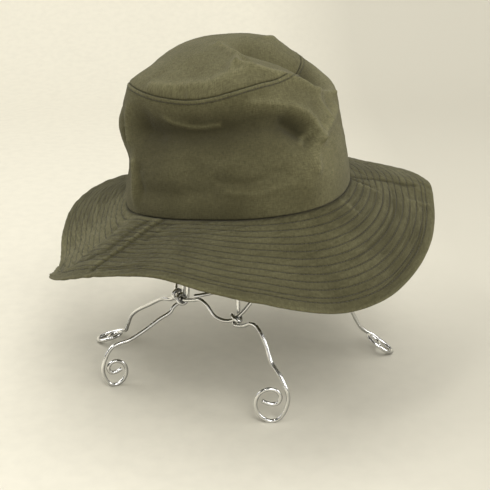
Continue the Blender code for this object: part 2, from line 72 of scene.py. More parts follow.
# Brim: droop is the slope of the cloth below the seam's plane, in degrees, and sag how far the middle
# of the cloth hangs below a straight line, as a share of the brim's width
BRIM_PLAN = columns("turn droop sag", [
    (0, 28.5, 0), (9, 21.5, 0), (18, 20.5, 0), (45, 22, 0), (65, 19, 0), (90, 26, 0), (115, 20, 0),
    (135, 13, 0), (150, 16, 0), (165, 26, 0.01), (180, 35, 0.02), (193, 34, 0.04),
    (201, 29.5, 0.09), (206, 25, 0.11), (210, 21, 0.05), (214, 17.7, -0.02), (219, 13.8, -0.05),
    (226, 9.7, -0.03), (234, 7.5, 0), (242, 6, 0), (262, 10, 0), (285, 29, 0), (300, 47.5, 0),
    (315, 53, 0), (330, 47, 0),
])

# Folds: push and width are shares of the crown's height, soft is 0.1 for a crease and 1 for a dent,
# and the path is a chain of (turn, share of the way up)
Fold = namedtuple("Fold", "name push width soft path")
FOLDS = [
    Fold("front tip edge", 0.055, 0.13, 0.7, [(200, 0.55), (230, 0.53), (258, 0.515), (288, 0.54)]),
    Fold("front undercut", -0.080, 0.12, 0.7, [(218, 0.38), (236, 0.368), (260, 0.372), (275, 0.385),
         (288, 0.405), (298, 0.37), (304, 0.32)]),
    Fold("front hollow", -0.040, 0.24, 1.0, [(225, 0.28), (255, 0.28), (282, 0.27)]),
    Fold("shoulder ridge", 0.042, 0.06, 0.3, [(284, 0.465), (293, 0.455), (302, 0.43), (308, 0.39),
         (310.5, 0.35), (311.5, 0.30), (311, 0.275)]),
    Fold("right far crease", 0.030, 0.05, 0.2, [(334, 0.345), (323, 0.32), (316, 0.293), (311, 0.273)]),
    Fold("right low crease", 0.028, 0.05, 0.2, [(311, 0.275), (308.5, 0.252), (307, 0.215), (306, 0.16)]),
    Fold("right corner", 0.020, 0.10, 0.6, [(304, 0.18), (301, 0.11), (301, 0.00)]),
    Fold("right pocket", -0.040, 0.06, 0.5, [(298, 0.385), (303, 0.335), (306, 0.295)]),
    Fold("right shoulder", 0.046, 0.11, 0.8, [(345, 0.40), (8, 0.40)]),
    Fold("tip front lip", 0.040, 0.05, 0.2, [(271, 0.86), (280, 0.80), (285.5, 0.72), (283, 0.68),
         (281, 0.655), (285.5, 0.632), (292, 0.605), (298, 0.583), (306, 0.555), (314, 0.508), (319, 0.47),
         (328, 0.438), (341, 0.398)]),
    Fold("tip dent", -0.120, 0.13, 0.7, [(308, 0.82), (318, 0.72), (325, 0.64), (332, 0.56), (338, 0.50)]),
    Fold("tip far slope", -0.030, 0.16, 1.0, [(345, 0.66), (10, 0.62), (40, 0.62)]),
    Fold("tip left slope", -0.025, 0.18, 1.0, [(172, 0.66), (190, 0.74)]),
    Fold("tip light ridge", 0.022, 0.06, 0.3, [(225, 0.56), (244, 0.553), (264, 0.563), (271, 0.585),
         (279, 0.595), (286, 0.61)]),
    Fold("left hollow", -0.055, 0.16, 1.0, [(165, 0.17), (182, 0.19), (197, 0.20)]),
    Fold("left bulge", 0.035, 0.14, 1.0, [(172, 0.37), (188, 0.37)]),
    Fold("left crease", -0.045, 0.05, 0.3, [(183, 0.43), (191, 0.408), (197.5, 0.375), (199.5, 0.32)]),
    Fold("left corner", 0.024, 0.06, 0.3, [(213, 0.00), (211.5, 0.06), (211, 0.13), (210, 0.22)]),
    Fold("front low fold", -0.018, 0.08, 0.8, [(218, 0.10), (236, 0.10), (257, 0.113)]),
    Fold("back dent", -0.060, 0.20, 1.0, [(60, 0.36), (95, 0.33), (130, 0.38)]),
]

# Ridges narrower than SHARP_WIDTH, a share of the crown's height, get a painted highlight along their crest:
# CREST_WIDTH is its share of the ridge's width, and a ridge with the push of FULL_CREST gets the whole
# painted highlight given last
SHARP_WIDTH = 0.065
CREST_WIDTH = 0.45
FULL_CREST = 0.02
CREST_HIGHLIGHT = 0.15

# Small creases that only the dressed cloth shows
CREASES = [
    Fold("undercut lip", 0.014, 0.03, 0.2, [(233, 0.43), (238, 0.413), (247, 0.395), (255, 0.39),
         (266, 0.40)]),
    Fold("pucker dent", -0.014, 0.035, 0.6, [(245, 0.535), (248, 0.525)]),
    Fold("pucker ridge", 0.010, 0.018, 0.2, [(250.5, 0.555), (250.8, 0.53), (251, 0.505)]),
    Fold("lip spur", 0.020, 0.035, 0.3, [(281, 0.655), (278.5, 0.64), (277, 0.62)]),
    Fold("lip pocket", -0.020, 0.035, 0.5, [(288, 0.66), (287, 0.69)]),
    Fold("inner ridge", 0.018, 0.03, 0.3, [(310.5, 0.32), (305, 0.292), (302.5, 0.275)]),
    Fold("facet ridge", 0.014, 0.04, 0.2, [(322, 0.45), (320, 0.413), (322, 0.378), (322.5, 0.343)]),
    Fold("facet hollow", -0.012, 0.05, 0.8, [(329, 0.41), (327, 0.38)]),
    Fold("left lit ridge", 0.018, 0.05, 0.4, [(205, 0.46), (202.5, 0.39), (204, 0.32)]),
    Fold("left front dent", -0.018, 0.07, 0.8, [(217, 0.43), (215, 0.38), (225, 0.355)]),
    Fold("left corner groove", -0.012, 0.04, 0.5, [(216.5, 0.03), (216.5, 0.11), (214.5, 0.19)]),
    Fold("top far bump", 0.018, 0.06, 0.4, [(356, 0.78), (8, 0.745)]),
    Fold("low crease", -0.010, 0.04, 0.5, [(262, 0.16), (275, 0.145), (292, 0.18)]),
    Fold("low ridge", 0.008, 0.03, 0.4, [(266, 0.115), (280, 0.10), (294, 0.125)]),
]

# Creases of the brim, with push, width and the second value of each place in shares of the brim's width
BRIM_CREASES = [
    Fold("corner crease upper", -0.011, 0.028, 0.4, [(224, 0.08), (223.5, 0.28), (224, 0.47), (223.5, 0.66),
         (219, 0.76)]),
    Fold("corner crease lower", -0.014, 0.030, 0.4, [(231.5, 0.04), (230, 0.15), (230, 0.34), (230, 0.48),
         (229.5, 0.61), (228, 0.78), (226.5, 0.93)]),
    Fold("corner ridge", 0.011, 0.025, 0.4, [(228, 0.03), (228.3, 0.22), (228.3, 0.37), (228.5, 0.53),
         (228, 0.66), (225.5, 0.83)]),
    Fold("corner outer crease", -0.006, 0.03, 0.4, [(237.5, 0.10), (235.5, 0.25), (234, 0.39)]),
    Fold("right long crease", -0.014, 0.030, 0.3, [(348.5, 0.0), (354.5, 0.13), (0.5, 0.30), (3, 0.45),
         (4, 0.62), (5, 0.78)]),
    Fold("right short crease", -0.011, 0.028, 0.3, [(345, 0.0), (346.5, 0.07), (349.5, 0.17), (350, 0.24)]),
    Fold("right ridge", 0.011, 0.028, 0.3, [(343, 0.09), (346, 0.185), (347, 0.27), (348, 0.325)]),
    Fold("right low ridge", 0.008, 0.03, 0.4, [(317, 0.03), (319, 0.11), (320, 0.185), (320.5, 0.24)]),
    Fold("right far ridge", 0.010, 0.03, 0.4, [(354, 0.69), (355.5, 0.80), (356.5, 0.92)]),
]

# Waist ring: reach and rise are shares of its radius and height
WAIST_PLAN = columns("turn reach rise", [
    (0, 1.00, 1.06), (60, 0.98, 1.04), (120, 0.98, 1.02), (180, 1.00, 0.97), (212, 1.02, 0.95),
    (226, 1.00, 1.00), (235, 1.00, 1.03), (241, 0.99, 0.98), (247, 0.99, 0.89), (255, 0.99, 0.845),
    (266, 1.00, 0.87), (274, 1.00, 0.96), (283, 1.00, 1.10), (315, 1.00, 1.12),
])

# Scroll foot: its wire's middle line, in shares of half its height, from the leg to the inner end
SCROLL = columns("across up", [
    (0.76, 1.00), (0.88, 0.43), (0.73, -0.33), (0.38, -0.86), (-0.05, -1.00), (-0.57, -0.74),
    (-0.87, -0.24), (-0.88, 0.33), (-0.62, 0.80), (-0.14, 1.00), (0.28, 0.86), (0.46, 0.48),
    (0.30, 0.12), (-0.10, 0.08), (-0.55, 0.28),
])

# Legs: x and y are where the foot touches the floor in shares of the stand's reach, scroll its height in
# shares of the scroll's size, lean the slope of its plane, facing the turn of its low side, flip its hand,
# ring and top the turns of its winding on the waist ring and of its hook on the top ring, and route its
# bends, as shares of the way to the winding and of the rise to it
Leg = namedtuple("Leg", "name x y scroll lean facing flip ring top route")
ROUTE = "toward rise"
LEGS = [
    Leg("leg_wire_left_back", -0.95, 0.32, 0.92, 20, 152, -1, 199, 150, columns(ROUTE, [
        (0.04, 0.09), (0.12, 0.29), (0.25, 0.45), (0.51, 0.67), (0.66, 0.80), (0.76, 0.87),
        (0.88, 0.91),
    ])),
    Leg("leg_wire_left_front", -0.759, -0.323, 0.82, 90, 290, -1, 209, 225, columns(ROUTE, [
        (0.06, 0.20), (0.12, 0.30), (0.21, 0.35), (0.32, 0.38), (0.51, 0.52), (0.73, 0.72),
        (0.87, 0.83), (0.91, 0.92),
    ])),
    Leg("leg_wire_front", 0.188, -0.737, 1.06, 90, 270, 1, 267, 290, columns(ROUTE, [
        (0.10, 0.25), (0.28, 0.51), (0.38, 0.88), (0.47, 1.12), (0.57, 1.25), (0.67, 1.25),
        (0.79, 1.11), (0.91, 1.02),
    ])),
    Leg("leg_wire_right", 1.00, 0.128, 1.00, 35, 6, 1, 5, 20, columns(ROUTE, [
        (0.08, 0.08), (0.16, 0.22), (0.25, 0.40), (0.46, 0.66), (0.76, 0.90),
    ])),
]

# Uprights: rise is the share of the way to the top ring, reach a share of the cage's radius
UPRIGHT = columns("rise reach", [
    (0.10, 0.84), (0.28, 0.92), (0.52, 1.00), (0.76, 0.95), (0.91, 0.72),
])

# Waist brace: toward is the share of the way between its ends on the ring, bow its sideways bend
BRACE_TURNS = (233.0, 318.0)
BRACE_OVERHANG = 0.004
BRACE_BOW = columns("toward bow", [
    (0.00, 0.00), (0.25, 0.05), (0.60, 0.08), (1.00, 0.00),
])

# Shares of the way up the crown where its folds and its wrinkles have grown to their full height
FOLD_START = 0.13
WRINKLE_START = 0.2

# Noise: the step along each axis from one seed to the next, and how much weaker and finer its grades get
SEED_STEPS = (7.1, 3.7, 5.3)
NOISE_GRADES = (0.9, 2.1)

# Wrinkles of the crown and the slow wave of the brim, as (height, spread, seed of the noise)
CROWN_WRINKLES = [(0.0007, 0.034, 1), (0.00022, 0.009, 2)]
WRINKLE_STRETCH = 1.8
BRIM_WAVE = (0.0009, 0.05, 4)

# Puckers of the quilting: slant is how far they lean along a row, across their stretch over the rows,
# row_shift and row_share set each row's own apart, spread is their size, and the last two are the shares
# of their height that they have everywhere and only between the stitches. JOIN_BAND fades them out where
# the rows close, as (start, rise, end, fall) in degrees
Pucker = namedtuple("Pucker", "slant across row_shift row_share spread seed everywhere on_swell")
PUCKERS = [
    Pucker(0.5, 0.22, 0, 0, 0.0066, 3, 0.45, 0.55),
    Pucker(0.3, 0, 0.0035, 0.0012, 0.0050, 5, 0, 0.6),
]
PUCKER_BASE = 1.1
JOIN_BAND = (0, 3, 360, 3)
GROOVE_WIDTH = 0.00043
SWELL_HEIGHT = 0.00010

# Where the quilting puckers more, and where the brim's lit left and right sides get painted highlight, as
# (turn, spread in degrees, share)
PUCKERED = [(200, 40, 3.0), (335, 28, 1.5)]
PAINTED_LIGHT_TURNS = [(190, 24, 0.85), (20, 30, 0.22)]

# Lines sewn into the crown, with the width of their groove, its depth and its share of shade
SewnLine = namedtuple("SewnLine", "width depth shade")
SEAM_LINE = SewnLine(0.0004, 0.0008, 0.6)
STITCH_LINE = SewnLine(0.0005, 0.00018, 0.5)
HEM_LINE = SewnLine(0.0006, 0.0005, 1.0)
TIP_LINE = SewnLine(0.0005, 0.0008, 0.6)
WELT_START = 0.0001
WELT_SLOPE = 0.0006
HEM_DROP = 0.0004
HEM_DROP_SPREAD = 0.0015
TIP_SWELL = 0.0001
TIP_SWELL_PLACE = 0.0020
TIP_SWELL_SPREAD = 0.0012

# Rows of points beside the crown's seams, in metres from the seam or the hem
SEAM_ROWS = [0.0, 0.0003, 0.0006, 0.0009, 0.0012, 0.0016, 0.0020, 0.0024, 0.0027, 0.0030, 0.0033, 0.0036,
             0.0039, 0.0043, 0.0048, 0.0056, 0.0066, 0.0078]
HEM_ROWS = [0.0, 0.0005, 0.0009, 0.0014, 0.0020, 0.0028, 0.0038]
TIP_EDGE_ROWS = [0.0, 0.0003, 0.0006, 0.0010, 0.0015, 0.0021, 0.0030, 0.0042]
LINING_LAP = 0.0003

# Rows of points up the faces of the crown's cloth and up its linings, in shares of the way up each panel
SIDE_FACE_ROWS = np.linspace(0.06, 0.905, 78)
SIDE_LINING_ROWS = np.linspace(0.96, 0.03, 24)
TIP_LINING_ROWS = np.linspace(1, 0.08, 22)
TIP_FACE_ROWS = np.linspace(0.08, 1, 66)

# Rows of points across the brim: beside the crown's seam, beside the edge and round each row of stitches
UPPER_SEAM_ROWS = [-0.0004, 0.0006, 0.0014, 0.0022]
UNDER_SEAM_ROWS = [0.001, 0.003]
UPPER_EDGE_ROWS = [0.0045, 0.0018]
UPPER_STEPS = [-0.0016, -0.0009, -0.0004, 0, 0.0004, 0.0009, 0.0016]
UNDER_STEPS = [-0.0012, 0, 0.0012]
MIDWAY = 0.003
EDGE_ANGLES = np.linspace(0.3, 1.35, 4)

# Columns of points round each panel
SIDE_COLUMNS = 620
TIP_COLUMNS = 560
BRIM_COLUMNS = 608

# Lightened share of the crown's cloth: abrasion everywhere and in patches; painted highlight where it faces
# up or to the right and where it bulges at the front; lighter on the welt; painted highlight on raised folds
# and painted shade in hollow ones; and painted highlight beyond its right and left front corners
WEAR_BASE = 0.12
WEAR_PATCHES = 0.27
HIGHLIGHT_UPWARD = 0.44
HIGHLIGHT_RIGHTWARD = 0.28
HIGHLIGHT_BULGE = 0.40
BULGE_HEIGHT = 0.036
BULGE_SPREAD = 0.014
LIGHTER_WELT = 0.28
LIGHT_AND_SHADE_RELIEF = 3
HIGHLIGHT_RIGHT_CORNER = 0.16
HIGHLIGHT_LEFT_CORNER = 0.45

# Corners: the right one's turn at the hem and how far it leans with the way up, the bands of painted
# highlight beyond them as (start, rise, end, fall) in degrees, and how far up the left band reaches and fades
RIGHT_CORNER = 302
RIGHT_CORNER_LEAN = 30
RIGHT_CORNER_BAND = (0, 4, 90, 40)
LEFT_CORNER_BAND = (188, 12, 213, 3)
LEFT_CORNER_TOP = 0.34
LEFT_CORNER_FADE = 0.1

# Spread of the patches of wear and the seed of their noise
CROWN_PATCHES = (0.03, 6)
BRIM_PATCHES = (0.025, 7)

# Shaded share of the crown's cloth in its folds: how fast it grows with their depth, where it starts
# and the most that it comes to
SHADE_RELIEF = 6
SHADE_START = 0.03
SHADE_MOST = 0.60

# Lightened share of the brim's cloth: abrasion everywhere, in patches and at its edge; lighter between the
# rows of stitches; painted highlight and shade for each metre of pucker and each share of crease; then its
# painted shade in the rows, in the creases and beside the crown's seam
BRIM_WEAR = 0.11
BRIM_WEAR_PATCHES = 0.22
WEAR_EDGE = 0.4
EDGE_WORN = 0.003
LIGHTER_BETWEEN_ROWS = 0.12
LIGHT_AND_SHADE_PUCKER = 350
LIGHT_AND_SHADE_CREASE = 50
SHADE_ROWS = 0.75
SHADE_CREASE = 13
SEAM_SHADE_WIDTH = 0.0015

# Sewing: the seam's stitch, the brim's edge stitch as a share of the others, the part of its length that
# a stitch fills, its height as a share of its width, the readings taken round the hat for a row, the
# rounding of a stitch as a share of it, and each thread's width and how far its middle lies off the cloth
TOPSTITCH = 0.0031
EDGE_STITCH = 1.3
STITCH_FILL = 0.78
STITCH_HEIGHT = 0.8
STITCH_READINGS = 1441
STITCH_BEVEL = 0.28
Thread = namedtuple("Thread", "width lift")
SEAM_THREAD = Thread(0.00050, 0.00010)
QUILTING_THREAD = Thread(0.00045, 0.00008)

# Woven cloth: distance from thread to thread, and the (scale, detail) of its patches, specks and fuzz
WEAVE_PITCH = 0.0006
CLOTH_NOISES = [(26, 5), (520, 2), (900, 2)]
SLUBS_ACROSS = (260, 1500, 1)
SLUBS_UP = (1500, 260, 1)

# Woven cloth: how much the slubs and patches count where abrasion and painted highlight lighten it, and how
# light threads and gaps get there; the level under which uneven cloth turns dark, what counts in it and how
# dark it gets, which also scales the painted shade; and the heights
LIGHTENED_SLUBS = 0.35
LIGHTENED_PATCHES = 0.55
LIGHTENED_LEAST = 0.05
LIGHTENED_THREADS = 0.5
LIGHTENED_GAPS = 0.6
DARK_LEVEL = 1.32
DARK_SLUBS = 0.75
DARK_SPECKS = 0.6
DARK_MOST = 0.85
THREAD_HEIGHT = 0.6
SLUB_HEIGHT = 0.8
FUZZ_HEIGHT = 0.25

# Wire: shares of dull patches and scratches in its roughness, how far it is bright before its facing counts,
# and the shares for facing right, back and up, which set its painted highlight and painted shade by facing;
# and the turn from one reading of a ring to the next
WIRE_DULL = 0.30
WIRE_SCRATCHED = 0.16
WAIST_STEP = 1.2
TOP_STEP = 3
WIRE_BRIGHT = 0.42
WIRE_FACING = (-0.45, -0.45, 0.75)

# Points closer than MERGE_DISTANCE are one, and points closer than CUT_DISTANCE to the floor lie on it
MERGE_DISTANCE = 0.00001
CUT_DISTANCE = 0.000001

# Lamps: name, place, width and power of each soft lamp round the hat
LAMPS = [
    ("front_left_lamp", (-1.1, -1.3, 2.1), 0.4, 8),
    ("high_left_lamp", (-1.4, -0.3, 2.1), 0.4, 3),
    ("left_lamp", (-2.4, -0.3, 1.0), 1.4, 11),
    ("front_right_lamp", (0.75, -1.8, 2.0), 1.4, 42),
    ("low_front_lamp", (0.2, -1.9, 0.6), 1.4, 4),
    ("right_lamp", (2.4, -0.3, 1.0), 1.4, 32),
    ("back_left_lamp", (-2.0, 0.8, 1.7), 1.6, 20),
    ("top_lamp", (0.0, 0.3, 2.4), 2.4, 32),
    ("back_lamp", (0.0, 1.3, 2.2), 2.2, 3),
]
LAMP_AIM = (0, 0, 0.13)
LAMP_TINT = (1.0, 0.985, 0.945)
ROOM_TINT = (1.0, 0.97, 0.90)
ROOM_STRENGTH = 0.03

# Paper: half its width, its cells, where it bends up behind the hat and how tightly, its tones as shares
# of its colour in its clouds and in its painted shade, and where its grain starts, its contrast and its
# clouds
PAPER_REACH = 2.4
PAPER_CELLS = 60
BEND_START = 1.0
BEND_RADIUS = 0.8
PAPER_DEEPER = 0.93
PAPER_DIM = 0.78
GRAIN_START = 0.38
GRAIN_CONTRAST = 3.2
CLOUD_SHARE = 0.4

# The paper has painted shade to the right of DIM_START and in front of DIM_END, with its growth and fade for
# each metre
DIM_START = 0.02
DIM_GROWTH = 4.5
DIM_END = 2.3
DIM_FADE = 1.2

# Camera: its place from the stand's axis, its tilt in degrees, and its lens and sensor in millimetres
CAMERA_PLACE = (0.004747, -0.69057, 0.371333)
CAMERA_TILT = 69.005
LENS = 66.45
SENSOR_WIDTH = 36


def length(name, default, description):
    """Length property in metres."""
    return FloatProperty(name=name, description=description, default=default, min=0, precision=5,
                         unit="LENGTH")


def colour(name, default, description):
    """Colour property."""
    return FloatVectorProperty(name=name, description=description, default=default, min=0, max=1,
                               size=3, subtype="COLOR")


class CrownSizes(PropertyGroup):
    """Sizes of the crown."""
    head_length: length("Head length", 0.196, "Long axis of the head opening")
    head_width: length("Head width", 0.169, "Short axis of the head opening")
    head_turn: FloatProperty(name="Head turn", description="Turn of the long axis, in degrees", default=300)
    height: length("Height", 0.115, "Height of the crown above its seam with the brim")
    roundness: FloatProperty(name="Roundness", description="Squareness of the crown's profile", default=2.7)
    wall: length("Wall", 0.0016, "Thickness of the crown's cloth")
    seam_height: length("Seam height", 0.160, "Height of the seam's middle above the floor")
    roll: FloatProperty(name="Roll", description="Sideways tilt of the hat", default=math.radians(7.3),
                        subtype="ANGLE")
    welt_width: length("Welt width", 0.0027, "Width of the raised welt under the tip seam")
    welt_height: length("Welt height", 0.0004, "Height of the raised welt")


class BrimSizes(PropertyGroup):
    """Sizes of the brim."""
    width: length("Width", 0.0785, "Width of the brim")
    wall: length("Wall", 0.0022, "Thickness of the brim's cloth")
    seam_gap: length("Seam gap", 0.0006, "Drop of the brim below the crown's seam")
    row_spacing: length("Row spacing", 0.0061, "Distance between the rows of quilting")
    row_count: IntProperty(name="Rows", description="Number of quilting rows", default=11, min=1)
    edge_row: length("Edge row", 0.0078, "Distance of the outermost row from the edge")
    groove: length("Groove", 0.00030, "Depth of the cloth under a row of stitches")
    pucker: length("Pucker", 0.00045, "Height of the puckers between the rows")
    stitch: length("Stitch", 0.0030, "Length from one stitch to the next")


class StandSizes(PropertyGroup):
    """Sizes of the wire stand."""
    wire: length("Wire", 0.0032, "Diameter of the wire")
    wire_gap: length("Wire gap", 0.0003, "Clearance of the brace above the ring")
    winding_gap: length("Winding gap", 0.0006, "Clearance of a winding round the ring")
    winding_pitch: length("Winding pitch", 0.0044, "Advance of one winding turn")
    winding_turns: FloatProperty(name="Winding turns", description="Turns round the waist ring", default=1.25)
    waist_radius: length("Waist radius", 0.052, "Radius of the waist ring")
    waist_height: length("Waist height", 0.074, "Height of the waist ring")
    foot_reach: length("Foot reach", 0.133, "Reach of the farthest foot")
    foot_flat: length("Foot flat", 0.0006, "Depth of the flat under a foot")
    scroll_size: length("Scroll size", 0.026, "Height of a scroll foot")
    cage_radius: length("Cage radius", 0.056, "Radius of the uprights inside the crown")
    top_ring_radius: length("Top ring radius", 0.022, "Radius of the ring under the tip")
    hook_turn: FloatProperty(name="Hook turn", description="Bend over the top ring, in degrees", default=225)


class HatColours(PropertyGroup):
    """Colours of the hat, the stand and the stage."""
    crown: colour("Crown cloth", (0.093, 0.0845, 0.0405), "Cloth of the crown")
    brim: colour("Brim cloth", (0.059, 0.0537, 0.0237), "Cloth of the brim")
    # The next colour is abrasion along edges and in patches, and also painted highlight on lit faces, folds
    # and crests
    worn: colour("Worn cloth", (0.222, 0.208, 0.112), "Cloth rubbed light along folds and edges")
    # The next colour is painted shade in the grooves of seams and quilting rows, at the hem and in deep
    # folds, and also the dark flecks of the weave and the thread's darker tone
    shaded: colour("Shaded cloth", (0.026, 0.023, 0.012), "Cloth in the grooves of the seams")
    thread: colour("Thread", (0.040, 0.034, 0.016), "Sewing thread")
    wire: colour("Wire", (0.95, 0.95, 0.94), "Polished wire")
    dull_wire: colour("Dull wire", (0.82, 0.82, 0.81), "Duller patches of the wire")
    # The next colour is painted shade on the wire where it faces down, right and back
    wire_painted_shade: colour("Dark wire", (0.16, 0.16, 0.155), "Wire where it faces down or back")
    floor: colour("Floor", (0.745, 0.714, 0.612), "Floor and backdrop")


class HatSettings(PropertyGroup):
    """All sizes and colours of the hat on its stand."""
    crown: PointerProperty(type=CrownSizes)
    brim: PointerProperty(type=BrimSizes)
    stand: PointerProperty(type=StandSizes)
    colours: PointerProperty(type=HatColours)


def settings():
    """The hat's sizes and colours in the scene."""
    return bpy.context.scene.hiking_hat


def smooth_step(value):
    """0 below 0, 1 above 1 and a smooth rise between."""
    value = np.clip(value, 0, 1)
    return value * value * (3 - 2 * value)


def between(value, start, rise, end, fall):
    """1 between two limits, with a smooth rise past the start and a smooth fall before the end."""
    return smooth_step((value - start) / rise) * smooth_step((end - value) / fall)


def bell(distance, width):
    """1 at no distance, falling smoothly to 0 past the width."""
    return np.exp(-(distance / width) ** 2)


def by_turn(places, turn):
    """Sum of shares round the hat, each with its own turn and spread in degrees."""
    return sum(share * bell((turn - middle + 180) % 360 - 180, spread) for middle, spread, share in places)


def unit(vectors):
    """The same directions with a length of 1."""
    return vectors / np.linalg.norm(vectors, axis=-1, keepdims=True)


def round_axis(reach, turn, rise):
    """Points at a reach from the upright axis, at a turn in degrees and at a height."""
    heading = np.radians(turn)
    return np.stack(np.broadcast_arrays(reach * np.cos(heading), reach * np.sin(heading), rise), -1)


def run_along(path):
    """Distance along a path at each of its points."""
    return np.concatenate([[0], np.cumsum(np.linalg.norm(np.diff(path, axis=0), axis=1))])


def read_along(path, run, position):
    """Points of a path at any distance along it."""
    return np.stack([np.interp(position, run, path[:, axis]) for axis in range(3)], -1)


def curve_through(knots, values, position):
    """Smooth curve through the values at the knots, read at any position between them."""
    slope = np.gradient(values, knots)
    index = np.clip(np.searchsorted(knots, position, side="right") - 1, 0, len(knots) - 2)
    span = knots[index + 1] - knots[index]
    share = (position - knots[index]) / span
    keep = (1 + 2 * share) * (1 - share) ** 2
    leave = share * (1 - share) ** 2
    reach = share * share * (3 - 2 * share)
    arrive = share * share * (share - 1)
    return (keep * values[index] + leave * span * slope[index]
            + reach * values[index + 1] + arrive * span * slope[index + 1])


def around(table, name, turn):
    """Closed smooth curve through a column of a table, read at a turn in degrees."""
    knots = np.concatenate([table["turn"][-2:] - 360, table["turn"], table["turn"][:2] + 360])
    values = np.concatenate([table[name][-2:], table[name], table[name][:2]])
    return curve_through(knots, values, np.mod(turn, 360))


def cloth_noise(points, scale, seed, detail=3):
    """Fixed fractal noise at each point, about -1 to 1, with features of the given size."""
    shift = Vector([seed * step for step in SEED_STEPS])
    return np.array([noise.fractal(Vector(point) / scale + shift, *NOISE_GRADES, detail) for point in points])


def opening_radius(turn):
    """Radius of the head opening at a turn in degrees."""
    size = settings().crown
    angle = np.radians(turn - size.head_turn)
    oval = 1 / np.hypot(np.cos(angle) / (size.head_length / 2), np.sin(angle) / (size.head_width / 2))
    return oval * around(CROWN_PLAN, "opening", turn)


def opening_edge(turn):
    """Plan of the head opening's edge at a turn in degrees."""
    return round_axis(opening_radius(turn), turn, 0)[..., :2]


def crown_meridian(steps=1200):
    """Share of the crown's profile length, its reach and its rise, and the whole length."""
    size = settings().crown
    lean = np.linspace(0, math.pi / 2, steps)
    out = np.cos(lean) ** (2 / size.roundness)
    out[-1] = 0
    rise = np.sin(lean) ** (2 / size.roundness)
    radius = (size.head_length + size.head_width) / 4
    run = run_along(np.stack([out * radius, rise * size.height], -1))
    return run / run[-1], out, rise, run[-1]


def crown_form(turn, up):
    """Crown without its folds, and the direction that a fold pushes it in."""
    size = settings().crown
    share, profile_out, profile_rise, _ = crown_meridian()
    radius = opening_radius(turn)
    out = np.interp(up, share, profile_out)
    rise = np.interp(up, share, profile_rise)
    steep = out ** (size.roundness - 1) / radius
    level = rise ** (size.roundness - 1) / size.height
    return round_axis(radius * out, turn, size.height * rise), unit(round_axis(steep, turn, level))


def path_of(fold):
    """Turns of a fold's path without a jump at 360, and its second values."""
    turns, seconds = np.array(fold.path, float).T
    return np.degrees(np.unwrap(np.radians(turns))), seconds


def fold_line(fold, steps=6):
    """Points of a fold's path on the crown without folds."""
    turns, ups = path_of(fold)
    knots = np.arange(len(ups))
    position = np.linspace(0, len(ups) - 1, steps * (len(ups) - 1) + 1)
    return crown_form(np.interp(position, knots, turns), np.interp(position, knots, ups))[0]


def distance_to_line(points, line):
    """Shortest distance from each point to a chain of straight pieces."""
    nearest = np.full(points.shape[:-1], np.inf)
    for start, end in zip(line[:-1], line[1:]):
        along = end - start
        share = np.clip(((points - start) @ along) / (along @ along), 0, 1)
        gap = np.linalg.norm(points - start - share[..., None] * along, axis=-1)
        nearest = np.minimum(nearest, gap)
    return nearest


def fold_height(fold, points, line, scale):
    """Share of the scale that a fold adds at each point, and the distance from its line in widths."""
    away = distance_to_line(points, line) / (fold.width * scale)
    return fold.push * np.exp(2 * (fold.soft - np.hypot(fold.soft, away))), away


def crown_surface(turn, up):
    """Crown's outer face, the way out of it, and the folds' height with sharp crests, which set painted
    highlight and shade.
    """
    size = settings().crown
    place, facing = crown_form(turn, up)
    push = np.zeros(place.shape[:-1])
    crest = np.zeros(place.shape[:-1])
    for fold in FOLDS + CREASES:
        height, away = fold_height(fold, place, fold_line(fold), size.height)
        push += height
        if fold.push > 0 and fold.width < SHARP_WIDTH:
            crest = np.maximum(crest, bell(away, CREST_WIDTH) * min(fold.push / FULL_CREST, 1))
    push *= smooth_step(up / FOLD_START) * size.height
    stretched = place * (1, 1, WRINKLE_STRETCH)
    wrinkles = sum(height * cloth_noise(stretched, spread, seed) for height, spread, seed in CROWN_WRINKLES)
    push += smooth_step(up / WRINKLE_START) * wrinkles
    return place + facing * push[..., None], facing, push / size.height + CREST_HIGHLIGHT * crest


def brim_frame(turn, reach):
    """Brim's upper face and the way out of it, at a distance from the seam along the cloth."""
    size = settings().brim
    along = opening_edge(turn + 1) - opening_edge(turn - 1)
    outward = unit(np.stack([along[..., 1], -along[..., 0]], -1))
    droop = np.radians(np.where(reach > 0, around(BRIM_PLAN, "droop", turn), 0))
    plan = opening_edge(turn) + outward * (reach * np.cos(droop))[..., None]
    across = np.clip(reach / size.width, 0, 1)
    sag = around(BRIM_PLAN, "sag", turn) * size.width * 4 * across * (1 - across)
    place = np.concatenate([plan, (-size.seam_gap - reach * np.sin(droop) - sag)[..., None]], -1)
    facing = np.concatenate([outward * np.sin(droop)[..., None], np.cos(droop)[..., None]], -1)
    return place, facing


def quilt_rows():
    """Distance of every row of stitches from the crown's seam."""
    size = settings().brim
    rows = size.row_spacing * np.arange(1, size.row_count + 1)
    return np.append(rows, size.width - size.edge_row)


def quilt_lift(turn, reach):
    """Height of the quilted cloth above its middle, and how deep it lies in a groove."""
    size = settings().brim
    rows = quilt_rows()
    groove = bell(np.abs(reach[:, None] - rows[None, :]).min(axis=1), GROOVE_WIDTH)
    bounds = np.concatenate([[0], rows, [size.width]])
    index = np.clip(np.searchsorted(bounds, reach, side="right") - 1, 0, len(bounds) - 2)
    share = (reach - bounds[index]) / (bounds[index + 1] - bounds[index])
    swell = np.sin(np.pi * np.clip(share, 0, 1))
    along = np.radians(turn) * (opening_radius(turn) + reach)
    puckers = 0
    for pucker in PUCKERS:
        across = reach * pucker.across + index * pucker.row_shift + share * pucker.row_share
        cells = np.stack([along + pucker.slant * reach, across, along * 0], -1)
        height = cloth_noise(cells, pucker.spread, pucker.seed, 2) * between(turn, *JOIN_BAND)
        puckers += height * (pucker.everywhere + pucker.on_swell * swell)
    strength = PUCKER_BASE + by_turn(PUCKERED, turn)
    return SWELL_HEIGHT * swell - size.groove * groove + size.pucker * strength * puckers, groove


